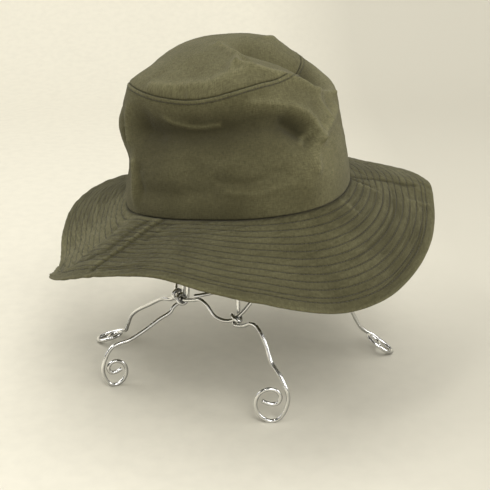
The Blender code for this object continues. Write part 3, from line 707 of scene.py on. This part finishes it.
def brim_surface(turn, reach, side):
    """Brim's face on its upper side (1) or under side (-1), the way out of it, its grooves and creases."""
    size = settings().brim
    place, facing = brim_frame(turn, reach)
    height, spread, seed = BRIM_WAVE
    wave = height * cloth_noise(place, spread, seed) * np.clip(reach / size.width, 0, 1)
    crumple = np.zeros(place.shape[:-1])
    for crease in BRIM_CREASES:
        turns, shares = path_of(crease)
        crumple += fold_height(crease, place, brim_frame(turns, shares * size.width)[0], size.width)[0]
    wave += crumple * size.width
    middle = place + facing * (wave - size.wall / 2)[..., None]
    edge = size.wall / 2
    rounded = np.sqrt(np.clip(1 - (np.clip(reach - size.width + edge, 0, edge) / edge) ** 2, 0, 1))
    lift, groove = quilt_lift(turn, reach)
    half = size.wall / 2 * rounded + lift * rounded
    return middle + facing * (half * side)[..., None], facing * side[..., None], groove, crumple


def hat_placement():
    """Where the hat's own frame, with the seam's middle at its origin, sits on the stand."""
    size = settings().crown
    return Matrix.Translation((0, 0, size.seam_height)) @ Matrix.Rotation(-size.roll, 4, "Y")


def in_hat(points):
    """Points of the hat's own frame in the stand's frame."""
    matrix = np.array(hat_placement())
    return np.asarray(points) @ matrix[:3, :3].T + matrix[:3, 3]


def stand_place():
    """Height of the top ring in the hat's own frame, and the stand's axis, as the CAD ring gives them."""
    size = settings().crown
    low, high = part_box("top_ring")
    middle = (low + high) / 2
    level = (middle.z - size.seam_height) / math.cos(size.roll)
    axis = Vector((middle.x + level * math.sin(size.roll), middle.y, 0))
    return level, axis


def on_stand(points):
    """Points of the hat's own frame in the part's frame."""
    return in_hat(points) + np.array(stand_place()[1])


def finished_mesh(name, shape):
    """Mesh of a bmesh, which is freed."""
    mesh = bpy.data.meshes.new(name)
    shape.to_mesh(mesh)
    shape.free()
    return mesh


def add_piece(name, mesh, material, node):
    """Object for a finished mesh, riding on the part in place of a CAD node."""
    mesh.materials.append(material)
    mesh.shade_smooth()
    piece = bpy.data.objects.new(name, mesh)
    bpy.context.scene.collection.objects.link(piece)
    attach(piece, "root")
    if node:
        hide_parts(node)
    return piece


def woven_piece(name, shape, column_count, rows, material, node):
    """Cloth bent from a grid: shape gives place, weave direction, wear and shade for turns and rows."""
    cloth = bmesh.new()
    weave = cloth.loops.layers.uv.new("weave")
    bmesh.ops.create_grid(cloth, x_segments=column_count, y_segments=len(rows) - 1, size=1)
    corners = np.array([corner.co[:2] for corner in cloth.verts])
    turn = (corners[:, 0] + 1) * 180
    row = np.rint((corners[:, 1] + 1) / 2 * (len(rows) - 1)).astype(int)
    place, grain, wear, shade = shape(turn, *rows[row].T)
    place = on_stand(place)
    worn = cloth.verts.layers.float.new("wear")
    shaded = cloth.verts.layers.float.new("shade")
    for index, corner in enumerate(cloth.verts):
        corner.co = place[index]
        corner[worn] = wear[index]
        corner[shaded] = shade[index]
    cloth.verts.index_update()
    for face in cloth.faces:
        for loop in face.loops:
            loop[weave].uv = grain[loop.vert.index]
    bmesh.ops.remove_doubles(cloth, verts=cloth.verts, dist=MERGE_DISTANCE)
    return add_piece(name, finished_mesh(name, cloth), material, node)


def crown_wear_and_highlight(place, facing, relief):
    """Abrasion in patches, and painted highlight on what stands out, faces up or to the right, or bulges in
    front.
    """
    patch = cloth_noise(place, *CROWN_PATCHES)
    upward, rightward, forward = np.clip([facing[:, 2], facing[:, 0], -facing[:, 1]], 0, 1)
    bulge = forward * bell(place[:, 2] - BULGE_HEIGHT, BULGE_SPREAD)
    lightened = HIGHLIGHT_UPWARD * upward + HIGHLIGHT_RIGHTWARD * rightward + HIGHLIGHT_BULGE * bulge
    return np.clip(WEAR_BASE + WEAR_PATCHES * patch + lightened + LIGHT_AND_SHADE_RELIEF * relief, 0, 1)


def corner_highlight(turn, up):
    """Share of painted highlight on the lit faces beyond the two front corners of the side panel."""
    beyond = (turn - RIGHT_CORNER + 102) % 360 - 102 - RIGHT_CORNER_LEAN * up
    right = between(beyond, *RIGHT_CORNER_BAND)
    left = between(turn, *LEFT_CORNER_BAND) * smooth_step((LEFT_CORNER_TOP - up) / LEFT_CORNER_FADE)
    return HIGHLIGHT_RIGHT_CORNER * right + HIGHLIGHT_LEFT_CORNER * left


def fold_shade(relief):
    """Share of painted shade, more where a fold lies deep."""
    return np.clip(SHADE_RELIEF * -relief - SHADE_START, 0, SHADE_MOST)


def section(*stretches):
    """Rows round a cloth's section from stretches of (share, metres, depth), each a number or a list."""
    rows = [np.stack(np.broadcast_arrays(*stretch), -1).reshape(-1, 3) for stretch in stretches]
    return np.concatenate(rows).astype(float)


def side_rows():
    """Rows of the side panel as (share of the way up, metres along the cloth, depth share)."""
    return section((0, HEM_ROWS, 0), (SIDE_FACE_ROWS, 0, 0), (1, -np.array(SEAM_ROWS[::-1]), 0),
                   (1, 0, 0.5), (1, -LINING_LAP, 1), (SIDE_LINING_ROWS, 0, 1), (0, 0, 1), (0, 0, 0))


def side_place(turn, share, offset, depth):
    """Point of the side panel, the way out of it, its lightened share with painted highlight, and its painted
    shade.
    """
    size = settings().crown
    span = crown_meridian()[3]
    seam = around(CROWN_PLAN, "seam", turn)
    up = share * seam + offset / span
    below = (seam - up) * span
    above = up * span
    place, facing, relief = crown_surface(turn, np.clip(up, 0, 1))
    welt = between(below, WELT_START, WELT_SLOPE, size.welt_width + WELT_SLOPE / 2, WELT_SLOPE)
    sunk = 0
    # Painted shade in deep folds, in the grooves of the seam and the topstitching, and at the hem
    dark = fold_shade(relief)
    for line, away in ((SEAM_LINE, below), (STITCH_LINE, below - size.welt_width), (HEM_LINE, above)):
        sunk = sunk + line.depth * bell(away, line.width)
        dark = dark + line.shade * bell(away, line.width)
    lift = np.where(depth > 0, 0, size.welt_height * welt - sunk) - depth * size.wall
    place = place - np.array([0, 0, HEM_DROP]) * bell(above, HEM_DROP_SPREAD)[..., None]
    shade = np.clip(dark, 0, 1) * (depth == 0)
    # Lightened share: abrasion in patches, painted highlight on lit faces, folds and corners, and lighter on
    # the welt
    wear = np.clip(crown_wear_and_highlight(place, facing, relief) + corner_highlight(turn, up) + LIGHTER_WELT * welt, 0, 1)
    return place + facing * lift[..., None], facing, wear, shade


def side_panel(turn, share, offset, depth):
    """Shape of the crown's side panel."""
    place, _, wear, shade = side_place(turn, share, offset, depth)
    size = settings().crown
    girth = math.pi * (size.head_length + size.head_width) / 2
    height = share * around(CROWN_PLAN, "seam", turn) * crown_meridian()[3] + offset
    return place, np.stack([turn / 360 * girth, height], -1), wear, shade


def tip_rows():
    """Rows of the tip, from its inner middle to its outer one, as for the side panel."""
    return section((TIP_LINING_ROWS, 0, 1), (0, LINING_LAP, 1), (0, 0, 0.5), (0, TIP_EDGE_ROWS, 0),
                   (TIP_FACE_ROWS, 0, 0))


def tip_panel(turn, share, offset, depth):
    """Shape of the crown's tip."""
    span = crown_meridian()[3]
    seam = around(CROWN_PLAN, "seam", turn)
    up = np.clip(seam + share * (1 - seam) + offset / span, 0, 1)
    above = (up - seam) * span
    place, facing, relief = crown_surface(turn, up)
    groove = bell(above, TIP_LINE.width)
    swell = TIP_SWELL * bell(above - TIP_SWELL_PLACE, TIP_SWELL_SPREAD)
    lift = np.where(depth > 0, 0, swell - TIP_LINE.depth * groove) - depth * settings().crown.wall
    # Painted shade in the groove of the tip's seam; the lightened share below holds abrasion and painted
    # highlight
    shade = TIP_LINE.shade * groove * (depth == 0)
    return place + facing * lift[..., None], place[:, :2], crown_wear_and_highlight(place, facing, relief), shade


def brim_rows():
    """Rows of the brim as (metres from the seam, side): under side out, then upper side in."""
    size = settings().brim
    rows = quilt_rows()
    edge = size.wall / 2
    rounding = [size.width - edge * (1 - math.sin(angle)) for angle in EDGE_ANGLES]
    shared = [-2 * settings().crown.wall, *rows[:-1] + MIDWAY, size.width - MIDWAY, *rounding]
    upper = UPPER_SEAM_ROWS + [size.width - step for step in UPPER_EDGE_ROWS]
    upper += [row + step for row in rows for step in UPPER_STEPS]
    under = UNDER_SEAM_ROWS + [row + step for row in rows for step in UNDER_STEPS]
    under = [(reach, -1) for reach in sorted(set(np.round(shared + under, 6)))]
    upper = [(reach, 1) for reach in sorted(set(np.round(shared + upper, 6)), reverse=True)]
    return np.array(under + [(size.width, 1)] + upper + under[:1])


def brim_panel(turn, reach, side):
    """Shape of the quilted brim."""
    size = settings().brim
    place, _, groove, crumple = brim_surface(turn, reach, side)
    edge = smooth_step((reach - size.width + EDGE_WORN) / EDGE_WORN)
    # Painted highlight on the lit sides and on raised puckers and ridges, with painted shade in sunk grooves
    # and creases
    painted_light = by_turn(PAINTED_LIGHT_TURNS, turn) + LIGHT_AND_SHADE_PUCKER * quilt_lift(turn, reach)[0] + LIGHT_AND_SHADE_CREASE * crumple
    patches = BRIM_WEAR + BRIM_WEAR_PATCHES * cloth_noise(place, *BRIM_PATCHES)
    wear = np.clip(patches + WEAR_EDGE * edge + LIGHTER_BETWEEN_ROWS * (1 - groove) + painted_light, 0, 1)
    # Painted shade in the quilting rows, beside the crown's seam and in the creases
    dark = SHADE_ROWS * groove + bell(reach, SEAM_SHADE_WIDTH) - SHADE_CREASE * np.minimum(crumple, 0)
    return place, place[:, :2], wear, np.clip(dark, 0, 1) * (side > 0)


def stitch_shape():
    """One stitch of thread along X, rounded at its ends, as a compact mesh."""
    stitch = bmesh.new()
    bmesh.ops.create_cube(stitch, size=1)
    bmesh.ops.bevel(stitch, geom=stitch.edges[:], offset=STITCH_BEVEL, segments=1, profile=0.5,
                    affect="EDGES", material=-1)
    return finished_mesh("one_stitch", stitch)


def add_stitches(name, lines, width, material):
    """Stitches laid end to end along lines of (places, ways out of the cloth, pitch), all in one piece."""
    frames = []
    for places, facing, pitch in lines:
        run = run_along(places)
        count = max(1, round(run[-1] / pitch))
        middle = (np.arange(count) + 0.5) * run[-1] / count
        centre = read_along(places, run, middle)
        along = unit(read_along(places, run, middle + pitch / 3) - centre)
        across = unit(np.cross(read_along(facing, run, middle), along))
        up = np.cross(along, across)
        frames.append((centre, along * pitch * STITCH_FILL, across * width, up * width * STITCH_HEIGHT))
    centre, along, across, up = [np.concatenate(part) for part in zip(*frames)]
    template = stitch_shape()
    thread = bmesh.new()
    thread.from_mesh(template)
    bpy.data.meshes.remove(template)
    corner_count = len(thread.verts)
    made = 1
    while made < len(centre):
        wanted = min(made, len(centre) - made)
        copied = [part[:wanted * len(part) // made] for part in (thread.verts, thread.edges, thread.faces)]
        bmesh.ops.duplicate(thread, geom=copied[0] + copied[1] + copied[2])
        made += wanted
    mesh = finished_mesh(name, thread)
    corners = np.zeros(len(mesh.vertices) * 3)
    mesh.vertices.foreach_get("co", corners)
    corners = corners.reshape(-1, corner_count, 3)
    place = (centre[:, None] + corners[..., :1] * along[:, None] + corners[..., 1:2] * across[:, None]
             + corners[..., 2:] * up[:, None])
    mesh.vertices.foreach_set("co", place.ravel())
    mesh.update()
    return add_piece(name, mesh, material, None)


def stitch_line(place, facing, lift, pitch):
    """Line of stitches a little above the cloth, from the hat's own frame into the part's."""
    turn = np.array(hat_placement())[:3, :3]
    return on_stand(place + facing * lift), facing @ turn.T, pitch


def smooth_path(points, per_span=12):
    """Smooth curve through points in space, read closely along its length."""
    points = np.asarray(points, float)
    knots = np.concatenate([[0], np.cumsum(np.sqrt(np.diff(run_along(points))))])
    position = np.interp(np.arange((len(knots) - 1) * per_span + 1) / per_span, np.arange(len(knots)), knots)
    return np.stack([curve_through(knots, points[:, axis], position) for axis in range(3)], -1)


def even_path(path, step=0.0011):
    """The same path with its points a fixed step apart."""
    run = run_along(path)
    return read_along(path, run, np.linspace(0, run[-1], max(2, round(run[-1] / step))))


def ring_place(turn):
    """Middle of the waist ring's wire at a turn in degrees."""
    size = settings().stand
    reach = size.waist_radius * around(WAIST_PLAN, "reach", turn)
    return round_axis(reach, turn, size.waist_height * around(WAIST_PLAN, "rise", turn))


def scroll_path(leg):
    """Scroll foot, from its inner end to the leg, low side on the floor."""
    size = settings().stand
    half = leg.scroll * size.scroll_size / 2
    lean = math.radians(leg.lean)
    low = round_axis(math.cos(lean), leg.facing, -math.sin(lean))
    across = leg.flip * round_axis(1, leg.facing + 90, 0)
    touch = np.array([leg.x * size.foot_reach, leg.y * size.foot_reach, size.wire / 2 - size.foot_flat])
    spread = SCROLL["across"][::-1, None] * across - SCROLL["up"][::-1, None] * low
    return touch + half * (spread - low)


def winding_path(leg, steps=14):
    """Turns round the waist ring, from below it to its inner side."""
    size = settings().stand
    step = math.degrees(size.winding_pitch / size.waist_radius)
    share = np.linspace(0, 1, round(steps * size.winding_turns) + 1)
    turns = leg.ring + (share - 0.5) * step * size.winding_turns
    along = unit(ring_place(turns + 1) - ring_place(turns - 1))
    outward = unit(np.cross(along, [0, 0, 1]))
    upward = np.cross(outward, along)
    angle = -math.pi / 2 - share * size.winding_turns * 2 * math.pi
    bend = np.cos(angle)[:, None] * outward + np.sin(angle)[:, None] * upward
    return ring_place(turns) + (size.wire + size.winding_gap) * bend


def leg_path(leg, start, end):
    """Leg's own bends, between the end of its scroll and the start of its winding."""
    way = np.stack([leg.route["toward"], leg.route["toward"], leg.route["rise"]], -1)
    return start + way * (end - start)


def hook_path(leg, level, steps=8):
    """End of an upright, bent over the top ring from outside."""
    size = settings().stand
    angle = np.radians(np.linspace(0, size.hook_turn, steps))
    bend = size.wire + size.winding_gap
    reach = size.top_ring_radius + bend * np.cos(angle)
    return in_hat(round_axis(reach, leg.top, level + bend * np.sin(angle)))


def upright_path(leg, start, level):
    """Upright between the winding and its hook, bowed out inside the crown."""
    foot_axis = np.array([0, 0, start[2]])
    start_turn = math.degrees(math.atan2(start[1], start[0])) % 360
    change = (leg.top - start_turn + 180) % 360 - 180
    rise = UPRIGHT["rise"]
    axis = foot_axis + rise[:, None] * (in_hat([0, 0, level]) - foot_axis)
    reach = settings().stand.cage_radius * UPRIGHT["reach"]
    return axis + round_axis(reach, start_turn + change * smooth_step(rise), 0)


def add_wire(name, path, material, node, closed=False):
    """Round wire along a path, trimmed flat where it stands on the floor."""
    line = bpy.data.curves.new(name, "CURVE")
    line.dimensions = "3D"
    line.bevel_depth = settings().stand.wire / 2
    line.bevel_resolution = 4
    line.use_fill_caps = not closed
    spline = line.splines.new("POLY")
    path = path + np.array(stand_place()[1])
    spline.points.add(len(path) - 1)
    for point, place in zip(spline.points, path):
        point.co = (*place, 1)
    spline.use_cyclic_u = closed
    holder = bpy.data.objects.new(name + "_line", line)
    bpy.context.scene.collection.objects.link(holder)
    mesh = bpy.data.meshes.new_from_object(holder.evaluated_get(bpy.context.evaluated_depsgraph_get()))
    bpy.data.objects.remove(holder, do_unlink=True)
    bar = bmesh.new()
    bar.from_mesh(mesh)
    bpy.data.meshes.remove(mesh)
    bmesh.ops.remove_doubles(bar, verts=bar.verts, dist=MERGE_DISTANCE)
    bmesh.ops.bisect_plane(bar, geom=bar.verts[:] + bar.edges[:] + bar.faces[:], dist=CUT_DISTANCE,
                           plane_co=(0, 0, 0), plane_no=(0, 0, 1), clear_inner=True)
    cut = [edge for edge in bar.edges if edge.is_boundary]
    if cut:
        bmesh.ops.holes_fill(bar, edges=cut, sides=0)
    bmesh.ops.recalc_face_normals(bar, faces=bar.faces)
    return add_piece(name, finished_mesh(name, bar), material, node)


class SurfaceValue:
    """Output of a node that changes over a surface, whose sums and products are Math nodes."""

    def __init__(self, socket):
        self.socket = socket
        self.tree = socket.id_data

    def __add__(self, other):
        return maths("ADD", self, other)

    __radd__ = __add__

    def __sub__(self, other):
        return maths("SUBTRACT", self, other)

    def __rsub__(self, other):
        return maths("SUBTRACT", other, self)

    def __mul__(self, other):
        return maths("MULTIPLY", self, other)

    def __truediv__(self, other):
        return maths("DIVIDE", self, other)

    def clamped(self):
        """The same value kept between 0 and 1."""
        self.socket.node.use_clamp = True
        return self

    def parts(self):
        """The three values of a vector."""
        node = self.tree.nodes.new("ShaderNodeSeparateXYZ")
        feed(node.inputs[0], self)
        return [SurfaceValue(output) for output in node.outputs]


def feed(socket, value):
    """Link a surface value to a socket, or set a plain value on it."""
    if isinstance(value, SurfaceValue):
        value.tree.links.new(value.socket, socket)
    else:
        socket.default_value = value


def maths(operation, first, second=0.0):
    """Math node on two surface values or numbers."""
    tree = (first if isinstance(first, SurfaceValue) else second).tree
    node = tree.nodes.new("ShaderNodeMath")
    node.operation = operation
    feed(node.inputs[0], first)
    feed(node.inputs[1], second)
    return SurfaceValue(node.outputs[0])


def blended(factor, first, second):
    """Mix of two colours by a surface value."""
    node = factor.tree.nodes.new("ShaderNodeMix")
    node.data_type = "RGBA"
    feed(node.inputs[0], factor)
    for socket, tone in zip(node.inputs[6:8], (first, second)):
        feed(socket, tone if isinstance(tone, SurfaceValue) else (*tone, 1))
    return SurfaceValue(node.outputs[2])


def noise_of(place, scale, detail, stretch=None):
    """Noise texture on a vector, stretched first where asked."""
    if stretch:
        mapping = place.tree.nodes.new("ShaderNodeMapping")
        mapping.inputs["Scale"].default_value = stretch
        feed(mapping.inputs["Vector"], place)
        place = SurfaceValue(mapping.outputs[0])
    texture = place.tree.nodes.new("ShaderNodeTexNoise")
    texture.inputs["Scale"].default_value = scale
    texture.inputs["Detail"].default_value = detail
    feed(texture.inputs["Vector"], place)
    return SurfaceValue(texture.outputs["Fac"])


def woven_group():
    """Node group for plain woven cloth: slubs, places lightened by abrasion and painted highlight, and
    painted shade.
    """
    group = bpy.data.node_groups.new("woven_cloth", "ShaderNodeTree")
    for kind, names in (("NodeSocketVector", "Weave Position"), ("NodeSocketFloat", "Pitch Wear Shade"),
                        ("NodeSocketColor", "Cloth Worn Shaded")):
        for name in names.split():
            group.interface.new_socket(name, in_out="INPUT", socket_type=kind)
    group.interface.new_socket("Color", in_out="OUTPUT", socket_type="NodeSocketColor")
    group.interface.new_socket("Height", in_out="OUTPUT", socket_type="NodeSocketFloat")
    given = {output.name: SurfaceValue(output) for output in group.nodes.new("NodeGroupInput").outputs}
    result = group.nodes.new("NodeGroupOutput")
    weave = given["Weave"]
    across, upward, _ = weave.parts()
    across = across / given["Pitch"]
    upward = upward / given["Pitch"]
    warp, weft = [maths("ABSOLUTE", maths("SINE", thread * math.pi)) for thread in (across, upward)]
    over = maths("ABSOLUTE", maths("MODULO", maths("FLOOR", across) + maths("FLOOR", upward), 2.0))
    threads = warp * over + weft * (1.0 - over)
    slub = noise_of(weave, scale=1, detail=3, stretch=SLUBS_ACROSS)
    slub = slub + noise_of(weave, scale=1, detail=3, stretch=SLUBS_UP)
    patches, specks, fuzz = [noise_of(given["Position"], scale, detail) for scale, detail in CLOTH_NOISES]
    mottle = slub * LIGHTENED_SLUBS + patches * LIGHTENED_PATCHES + LIGHTENED_LEAST
    # Lightened by abrasion and painted highlight, from the mask
    lightened = given["Wear"] * mottle * (threads * LIGHTENED_THREADS + LIGHTENED_GAPS)
    coloured = blended(lightened, given["Cloth"], given["Worn"])
    dark = (DARK_LEVEL - (slub * DARK_SLUBS + specks * DARK_SPECKS)) * DARK_MOST
    coloured = blended(maths("MAXIMUM", dark, 0.0), coloured, given["Shaded"])
    # Painted shade from the shade mask
    coloured = blended(given["Shade"] * DARK_MOST, coloured, given["Shaded"])
    feed(result.inputs["Color"], coloured)
    feed(result.inputs["Height"], threads * THREAD_HEIGHT + slub * SLUB_HEIGHT + fuzz * FUZZ_HEIGHT)
    return group


def new_material(name, values):
    """Material with plain values on its shader's own sockets, and that shader."""
    material = bpy.data.materials.new(name)
    material.use_nodes = True
    shader = material.node_tree.nodes["Principled BSDF"]
    for socket, value in values.items():
        shader.inputs[socket].default_value = value
    return material, shader


def coordinates(shader, kind="Object"):
    """Coordinates over the surface that a shader is on."""
    return SurfaceValue(shader.id_data.nodes.new("ShaderNodeTexCoord").outputs[kind])


def finish_surface(shader, tone, height, strength, distance):
    """Feed a shader's base colour, and its normal from a height through a Bump node."""
    bump = shader.id_data.nodes.new("ShaderNodeBump")
    bump.inputs["Strength"].default_value = strength
    bump.inputs["Distance"].default_value = distance
    feed(bump.inputs["Height"], height)
    feed(shader.inputs["Normal"], SurfaceValue(bump.outputs[0]))
    feed(shader.inputs["Base Color"], tone)


def cloth_material(name, cloth):
    """Matt woven cotton with a little sheen."""
    colours = settings().colours
    material, shader = new_material(name, {"Roughness": 0.92, "Specular IOR Level": 0.14,
                                           "Sheen Weight": 0.06, "Sheen Roughness": 0.5})
    nodes = material.node_tree.nodes
    woven = nodes.new("ShaderNodeGroup")
    woven.node_tree = bpy.data.node_groups.get("woven_cloth") or woven_group()
    weave = nodes.new("ShaderNodeUVMap")
    weave.uv_map = "weave"
    feed(woven.inputs["Weave"], SurfaceValue(weave.outputs[0]))
    feed(woven.inputs["Position"], coordinates(shader))
    feed(woven.inputs["Pitch"], WEAVE_PITCH)
    for socket, tone in (("Cloth", cloth), ("Worn", colours.worn), ("Shaded", colours.shaded)):
        feed(woven.inputs[socket], (*tone, 1))
    for socket in ("Wear", "Shade"):
        mask = nodes.new("ShaderNodeAttribute")
        mask.attribute_name = socket.lower()
        feed(woven.inputs[socket], SurfaceValue(mask.outputs["Fac"]))
    tone, height = [SurfaceValue(woven.outputs[name]) for name in ("Color", "Height")]
    finish_surface(shader, tone, height, strength=0.5, distance=0.0003)
    return material


def thread_material():
    """Sewing thread, uneven in tone, with a little sheen."""
    colours = settings().colours
    material, shader = new_material("sewing_thread", {"Roughness": 0.7, "Sheen Weight": 0.1})
    place = coordinates(shader)
    tone = blended(noise_of(place, scale=400, detail=3), colours.shaded, colours.thread)
    finish_surface(shader, tone, noise_of(place, scale=4000, detail=2), strength=0.4, distance=0.0001)
    return material


def wire_material():
    """Polished wire with faint scratches, dull patches and dents, and painted shade where it faces down or
    back.
    """
    colours = settings().colours
    material, shader = new_material("polished_wire", {"Metallic": 1})
    place = coordinates(shader)
    dull = noise_of(place, scale=60, detail=4)
    scratches = noise_of(place, scale=1200, detail=3)
    feed(shader.inputs["Roughness"], dull * WIRE_DULL + scratches * WIRE_SCRATCHED)
    # Painted highlight where the wire faces up, painted shade where it faces down, right and back
    facing = zip(coordinates(shader, "Normal").parts(), WIRE_FACING)
    bright = sum((part * share for part, share in facing), WIRE_BRIGHT).clamped()
    tone = blended(bright, colours.wire_painted_shade, blended(dull, colours.wire, colours.dull_wire))
    finish_surface(shader, tone, noise_of(place, scale=180, detail=3), strength=0.25, distance=0.0004)
    return material


def floor_material():
    """Pale matt paper with faint clouds and grain, and painted shade that dims it to the right."""
    pale = settings().colours.floor
    material, shader = new_material("pale_paper", {"Roughness": 0.95, "Specular IOR Level": 0.1})
    place = coordinates(shader)
    grain = ((noise_of(place, scale=75, detail=6) - GRAIN_START) * GRAIN_CONTRAST).clamped()
    uneven = noise_of(place, scale=5, detail=5) * CLOUD_SHARE + grain * (1 - CLOUD_SHARE)
    rightward, backward, _ = place.parts()
    rightward = ((rightward - DIM_START) * DIM_GROWTH).clamped()
    nearer = ((DIM_END - backward) * DIM_FADE).clamped()
    deeper, dim = [[channel * share for channel in pale] for share in (PAPER_DEEPER, PAPER_DIM)]
    # Painted shade: the paper dims to the right, fading out far behind the hat
    tone = blended(rightward * nearer, blended(uneven, pale, deeper), dim)
    finish_surface(shader, tone, noise_of(place, scale=60, detail=4), strength=0.15, distance=0.001)
    return material


class HAT_OT_crown(Operator):
    """Side panel and tip of the crown, with the welt and topstitching of their seam"""
    bl_idname = "hat.crown"
    bl_label = "Crown"

    def execute(self, context):
        cloth = cloth_material("crown_weave", settings().colours.crown)
        woven_piece("crown_side_panel", side_panel, SIDE_COLUMNS, side_rows(), cloth, "crown_side")
        woven_piece("crown_tip_panel", tip_panel, TIP_COLUMNS, tip_rows(), cloth, "crown_tip")
        turn = np.linspace(0, 360, STITCH_READINGS)
        whole = np.ones_like(turn)
        place, facing, _, _ = side_place(turn, whole, whole * -settings().crown.welt_width, whole * 0)
        lines = [stitch_line(place, facing, SEAM_THREAD.lift, TOPSTITCH)]
        add_stitches("crown_topstitching", lines, SEAM_THREAD.width, thread_material())
        return {"FINISHED"}


class HAT_OT_brim(Operator):
    """Quilted brim and its rows of stitches"""
    bl_idname = "hat.brim"
    bl_label = "Brim"

    def execute(self, context):
        size = settings().brim
        cloth = cloth_material("brim_weave", settings().colours.brim)
        woven_piece("brim_panel", brim_panel, BRIM_COLUMNS, brim_rows(), cloth, "brim")
        turn = np.linspace(0, 360, STITCH_READINGS)
        lines = []
        for index, row in enumerate(quilt_rows()):
            place, facing = brim_surface(turn, np.full_like(turn, row), np.ones_like(turn))[:2]
            pitch = size.stitch * (EDGE_STITCH if index == size.row_count else 1)
            lines.append(stitch_line(place, facing, QUILTING_THREAD.lift, pitch))
        add_stitches("brim_quilting", lines, QUILTING_THREAD.width, thread_material())
        return {"FINISHED"}


class HAT_OT_stand(Operator):
    """Round wires of the stand"""
    bl_idname = "hat.stand"
    bl_label = "Stand"

    def execute(self, context):
        size = settings().stand
        metal = wire_material()
        level, _ = stand_place()
        for leg in LEGS:
            scroll = scroll_path(leg)
            winding = winding_path(leg)
            route = leg_path(leg, scroll[-1], winding[0])
            upright = upright_path(leg, winding[-1], level)
            path = smooth_path(np.concatenate([scroll, route, winding, upright, hook_path(leg, level)]))
            add_wire(leg.name.replace("leg_wire", "bent_leg"), even_path(path), metal, leg.name)
        wavy = ring_place(np.arange(0, 360, WAIST_STEP))
        add_wire("waist_ring_wire", wavy, metal, "waist_ring", closed=True)
        flat = round_axis(size.top_ring_radius, np.arange(0, 360, TOP_STEP), level)
        add_wire("top_ring_wire", in_hat(flat), metal, "top_ring", closed=True)
        start, end = ring_place(np.array(BRACE_TURNS)) + np.array([0, 0, size.wire + size.wire_gap])
        run = end - start
        past = BRACE_OVERHANG * unit(run)
        sideways = np.cross([0, 0, 1], run)
        middle = start + BRACE_BOW["toward"][:, None] * run + BRACE_BOW["bow"][:, None] * sideways
        path = smooth_path([start - past, *middle, end + past])
        add_wire("waist_brace_wire", even_path(path), metal, "waist_brace")
        return {"FINISHED"}


def add_lamp(name, place, width, power):
    """Soft square lamp that shines on the middle of the hat."""
    lamp = bpy.data.lights.new(name, "AREA")
    lamp.shape = "SQUARE"
    lamp.size = width
    lamp.energy = power
    lamp.color = LAMP_TINT
    holder = bpy.data.objects.new(name, lamp)
    holder.location = place
    holder.rotation_euler = (Vector(LAMP_AIM) - Vector(place)).to_track_quat("-Z", "Y").to_euler()
    bpy.context.scene.collection.objects.link(holder)


def paper_sweep():
    """Floor that bends up into the backdrop behind the hat."""
    sweep = bmesh.new()
    bmesh.ops.create_grid(sweep, x_segments=PAPER_CELLS, y_segments=PAPER_CELLS, size=PAPER_REACH)
    for corner in sweep.verts:
        past = corner.co.y - BEND_START
        if past > 0:
            angle = min(past / BEND_RADIUS, math.pi / 2)
            straight = max(0, past - BEND_RADIUS * math.pi / 2)
            corner.co.y = BEND_START + BEND_RADIUS * math.sin(angle)
            corner.co.z = BEND_RADIUS * (1 - math.cos(angle)) + straight
    mesh = finished_mesh("paper_sweep", sweep)
    mesh.materials.append(floor_material())
    mesh.shade_smooth()
    return bpy.data.objects.new("paper_sweep", mesh)


class HAT_OT_stage(Operator):
    """Pale floor with its backdrop, the soft lights and the camera"""
    bl_idname = "hat.stage"
    bl_label = "Stage"

    def execute(self, context):
        paper = paper_sweep()
        context.scene.collection.objects.link(paper)
        context.scene.view_settings.view_transform = "Standard"
        world = bpy.data.worlds.new("soft_room")
        context.scene.world = world
        world.use_nodes = True
        world.node_tree.nodes["Background"].inputs["Color"].default_value = (*ROOM_TINT, 1)
        world.node_tree.nodes["Background"].inputs["Strength"].default_value = ROOM_STRENGTH
        for lamp in LAMPS:
            add_lamp(*lamp)
        lens = bpy.data.cameras.new("photo_camera")
        lens.sensor_width = SENSOR_WIDTH
        lens.lens = LENS
        camera = bpy.data.objects.new("photo_camera", lens)
        camera.location = stand_place()[1] + Vector(CAMERA_PLACE)
        camera.rotation_euler = (math.radians(CAMERA_TILT), 0, 0)
        context.scene.collection.objects.link(camera)
        context.scene.camera = camera
        return {"FINISHED"}


class HAT_PT_sidebar(Panel):
    """Buttons that build each part of the hat on its stand"""
    bl_idname = "HAT_PT_sidebar"
    bl_label = "Hiking hat"
    bl_space_type = "VIEW_3D"
    bl_region_type = "UI"
    bl_category = "Hat"

    def draw(self, context):
        for operator in (HAT_OT_crown, HAT_OT_brim, HAT_OT_stand, HAT_OT_stage):
            self.layout.operator(operator.bl_idname)
        hat = context.scene.hiking_hat
        for group in (hat.crown, hat.brim, hat.stand, hat.colours):
            box = self.layout.box()
            for name in group.__annotations__:
                box.prop(group, name)


CLASSES = (CrownSizes, BrimSizes, StandSizes, HatColours, HatSettings,
           HAT_OT_crown, HAT_OT_brim, HAT_OT_stand, HAT_OT_stage, HAT_PT_sidebar)


def register():
    """Add the classes and the settings to Blender."""
    for kind in CLASSES:
        bpy.utils.register_class(kind)
    bpy.types.Scene.hiking_hat = PointerProperty(type=HatSettings)


def unregister():
    """Take the classes and the settings out again."""
    del bpy.types.Scene.hiking_hat
    for kind in reversed(CLASSES):
        bpy.utils.unregister_class(kind)


def main():
    """Build everything in order."""
    register()
    bpy.ops.hat.crown()
    bpy.ops.hat.brim()
    bpy.ops.hat.stand()
    bpy.ops.hat.stage()


if __name__ == "__main__":
    main()
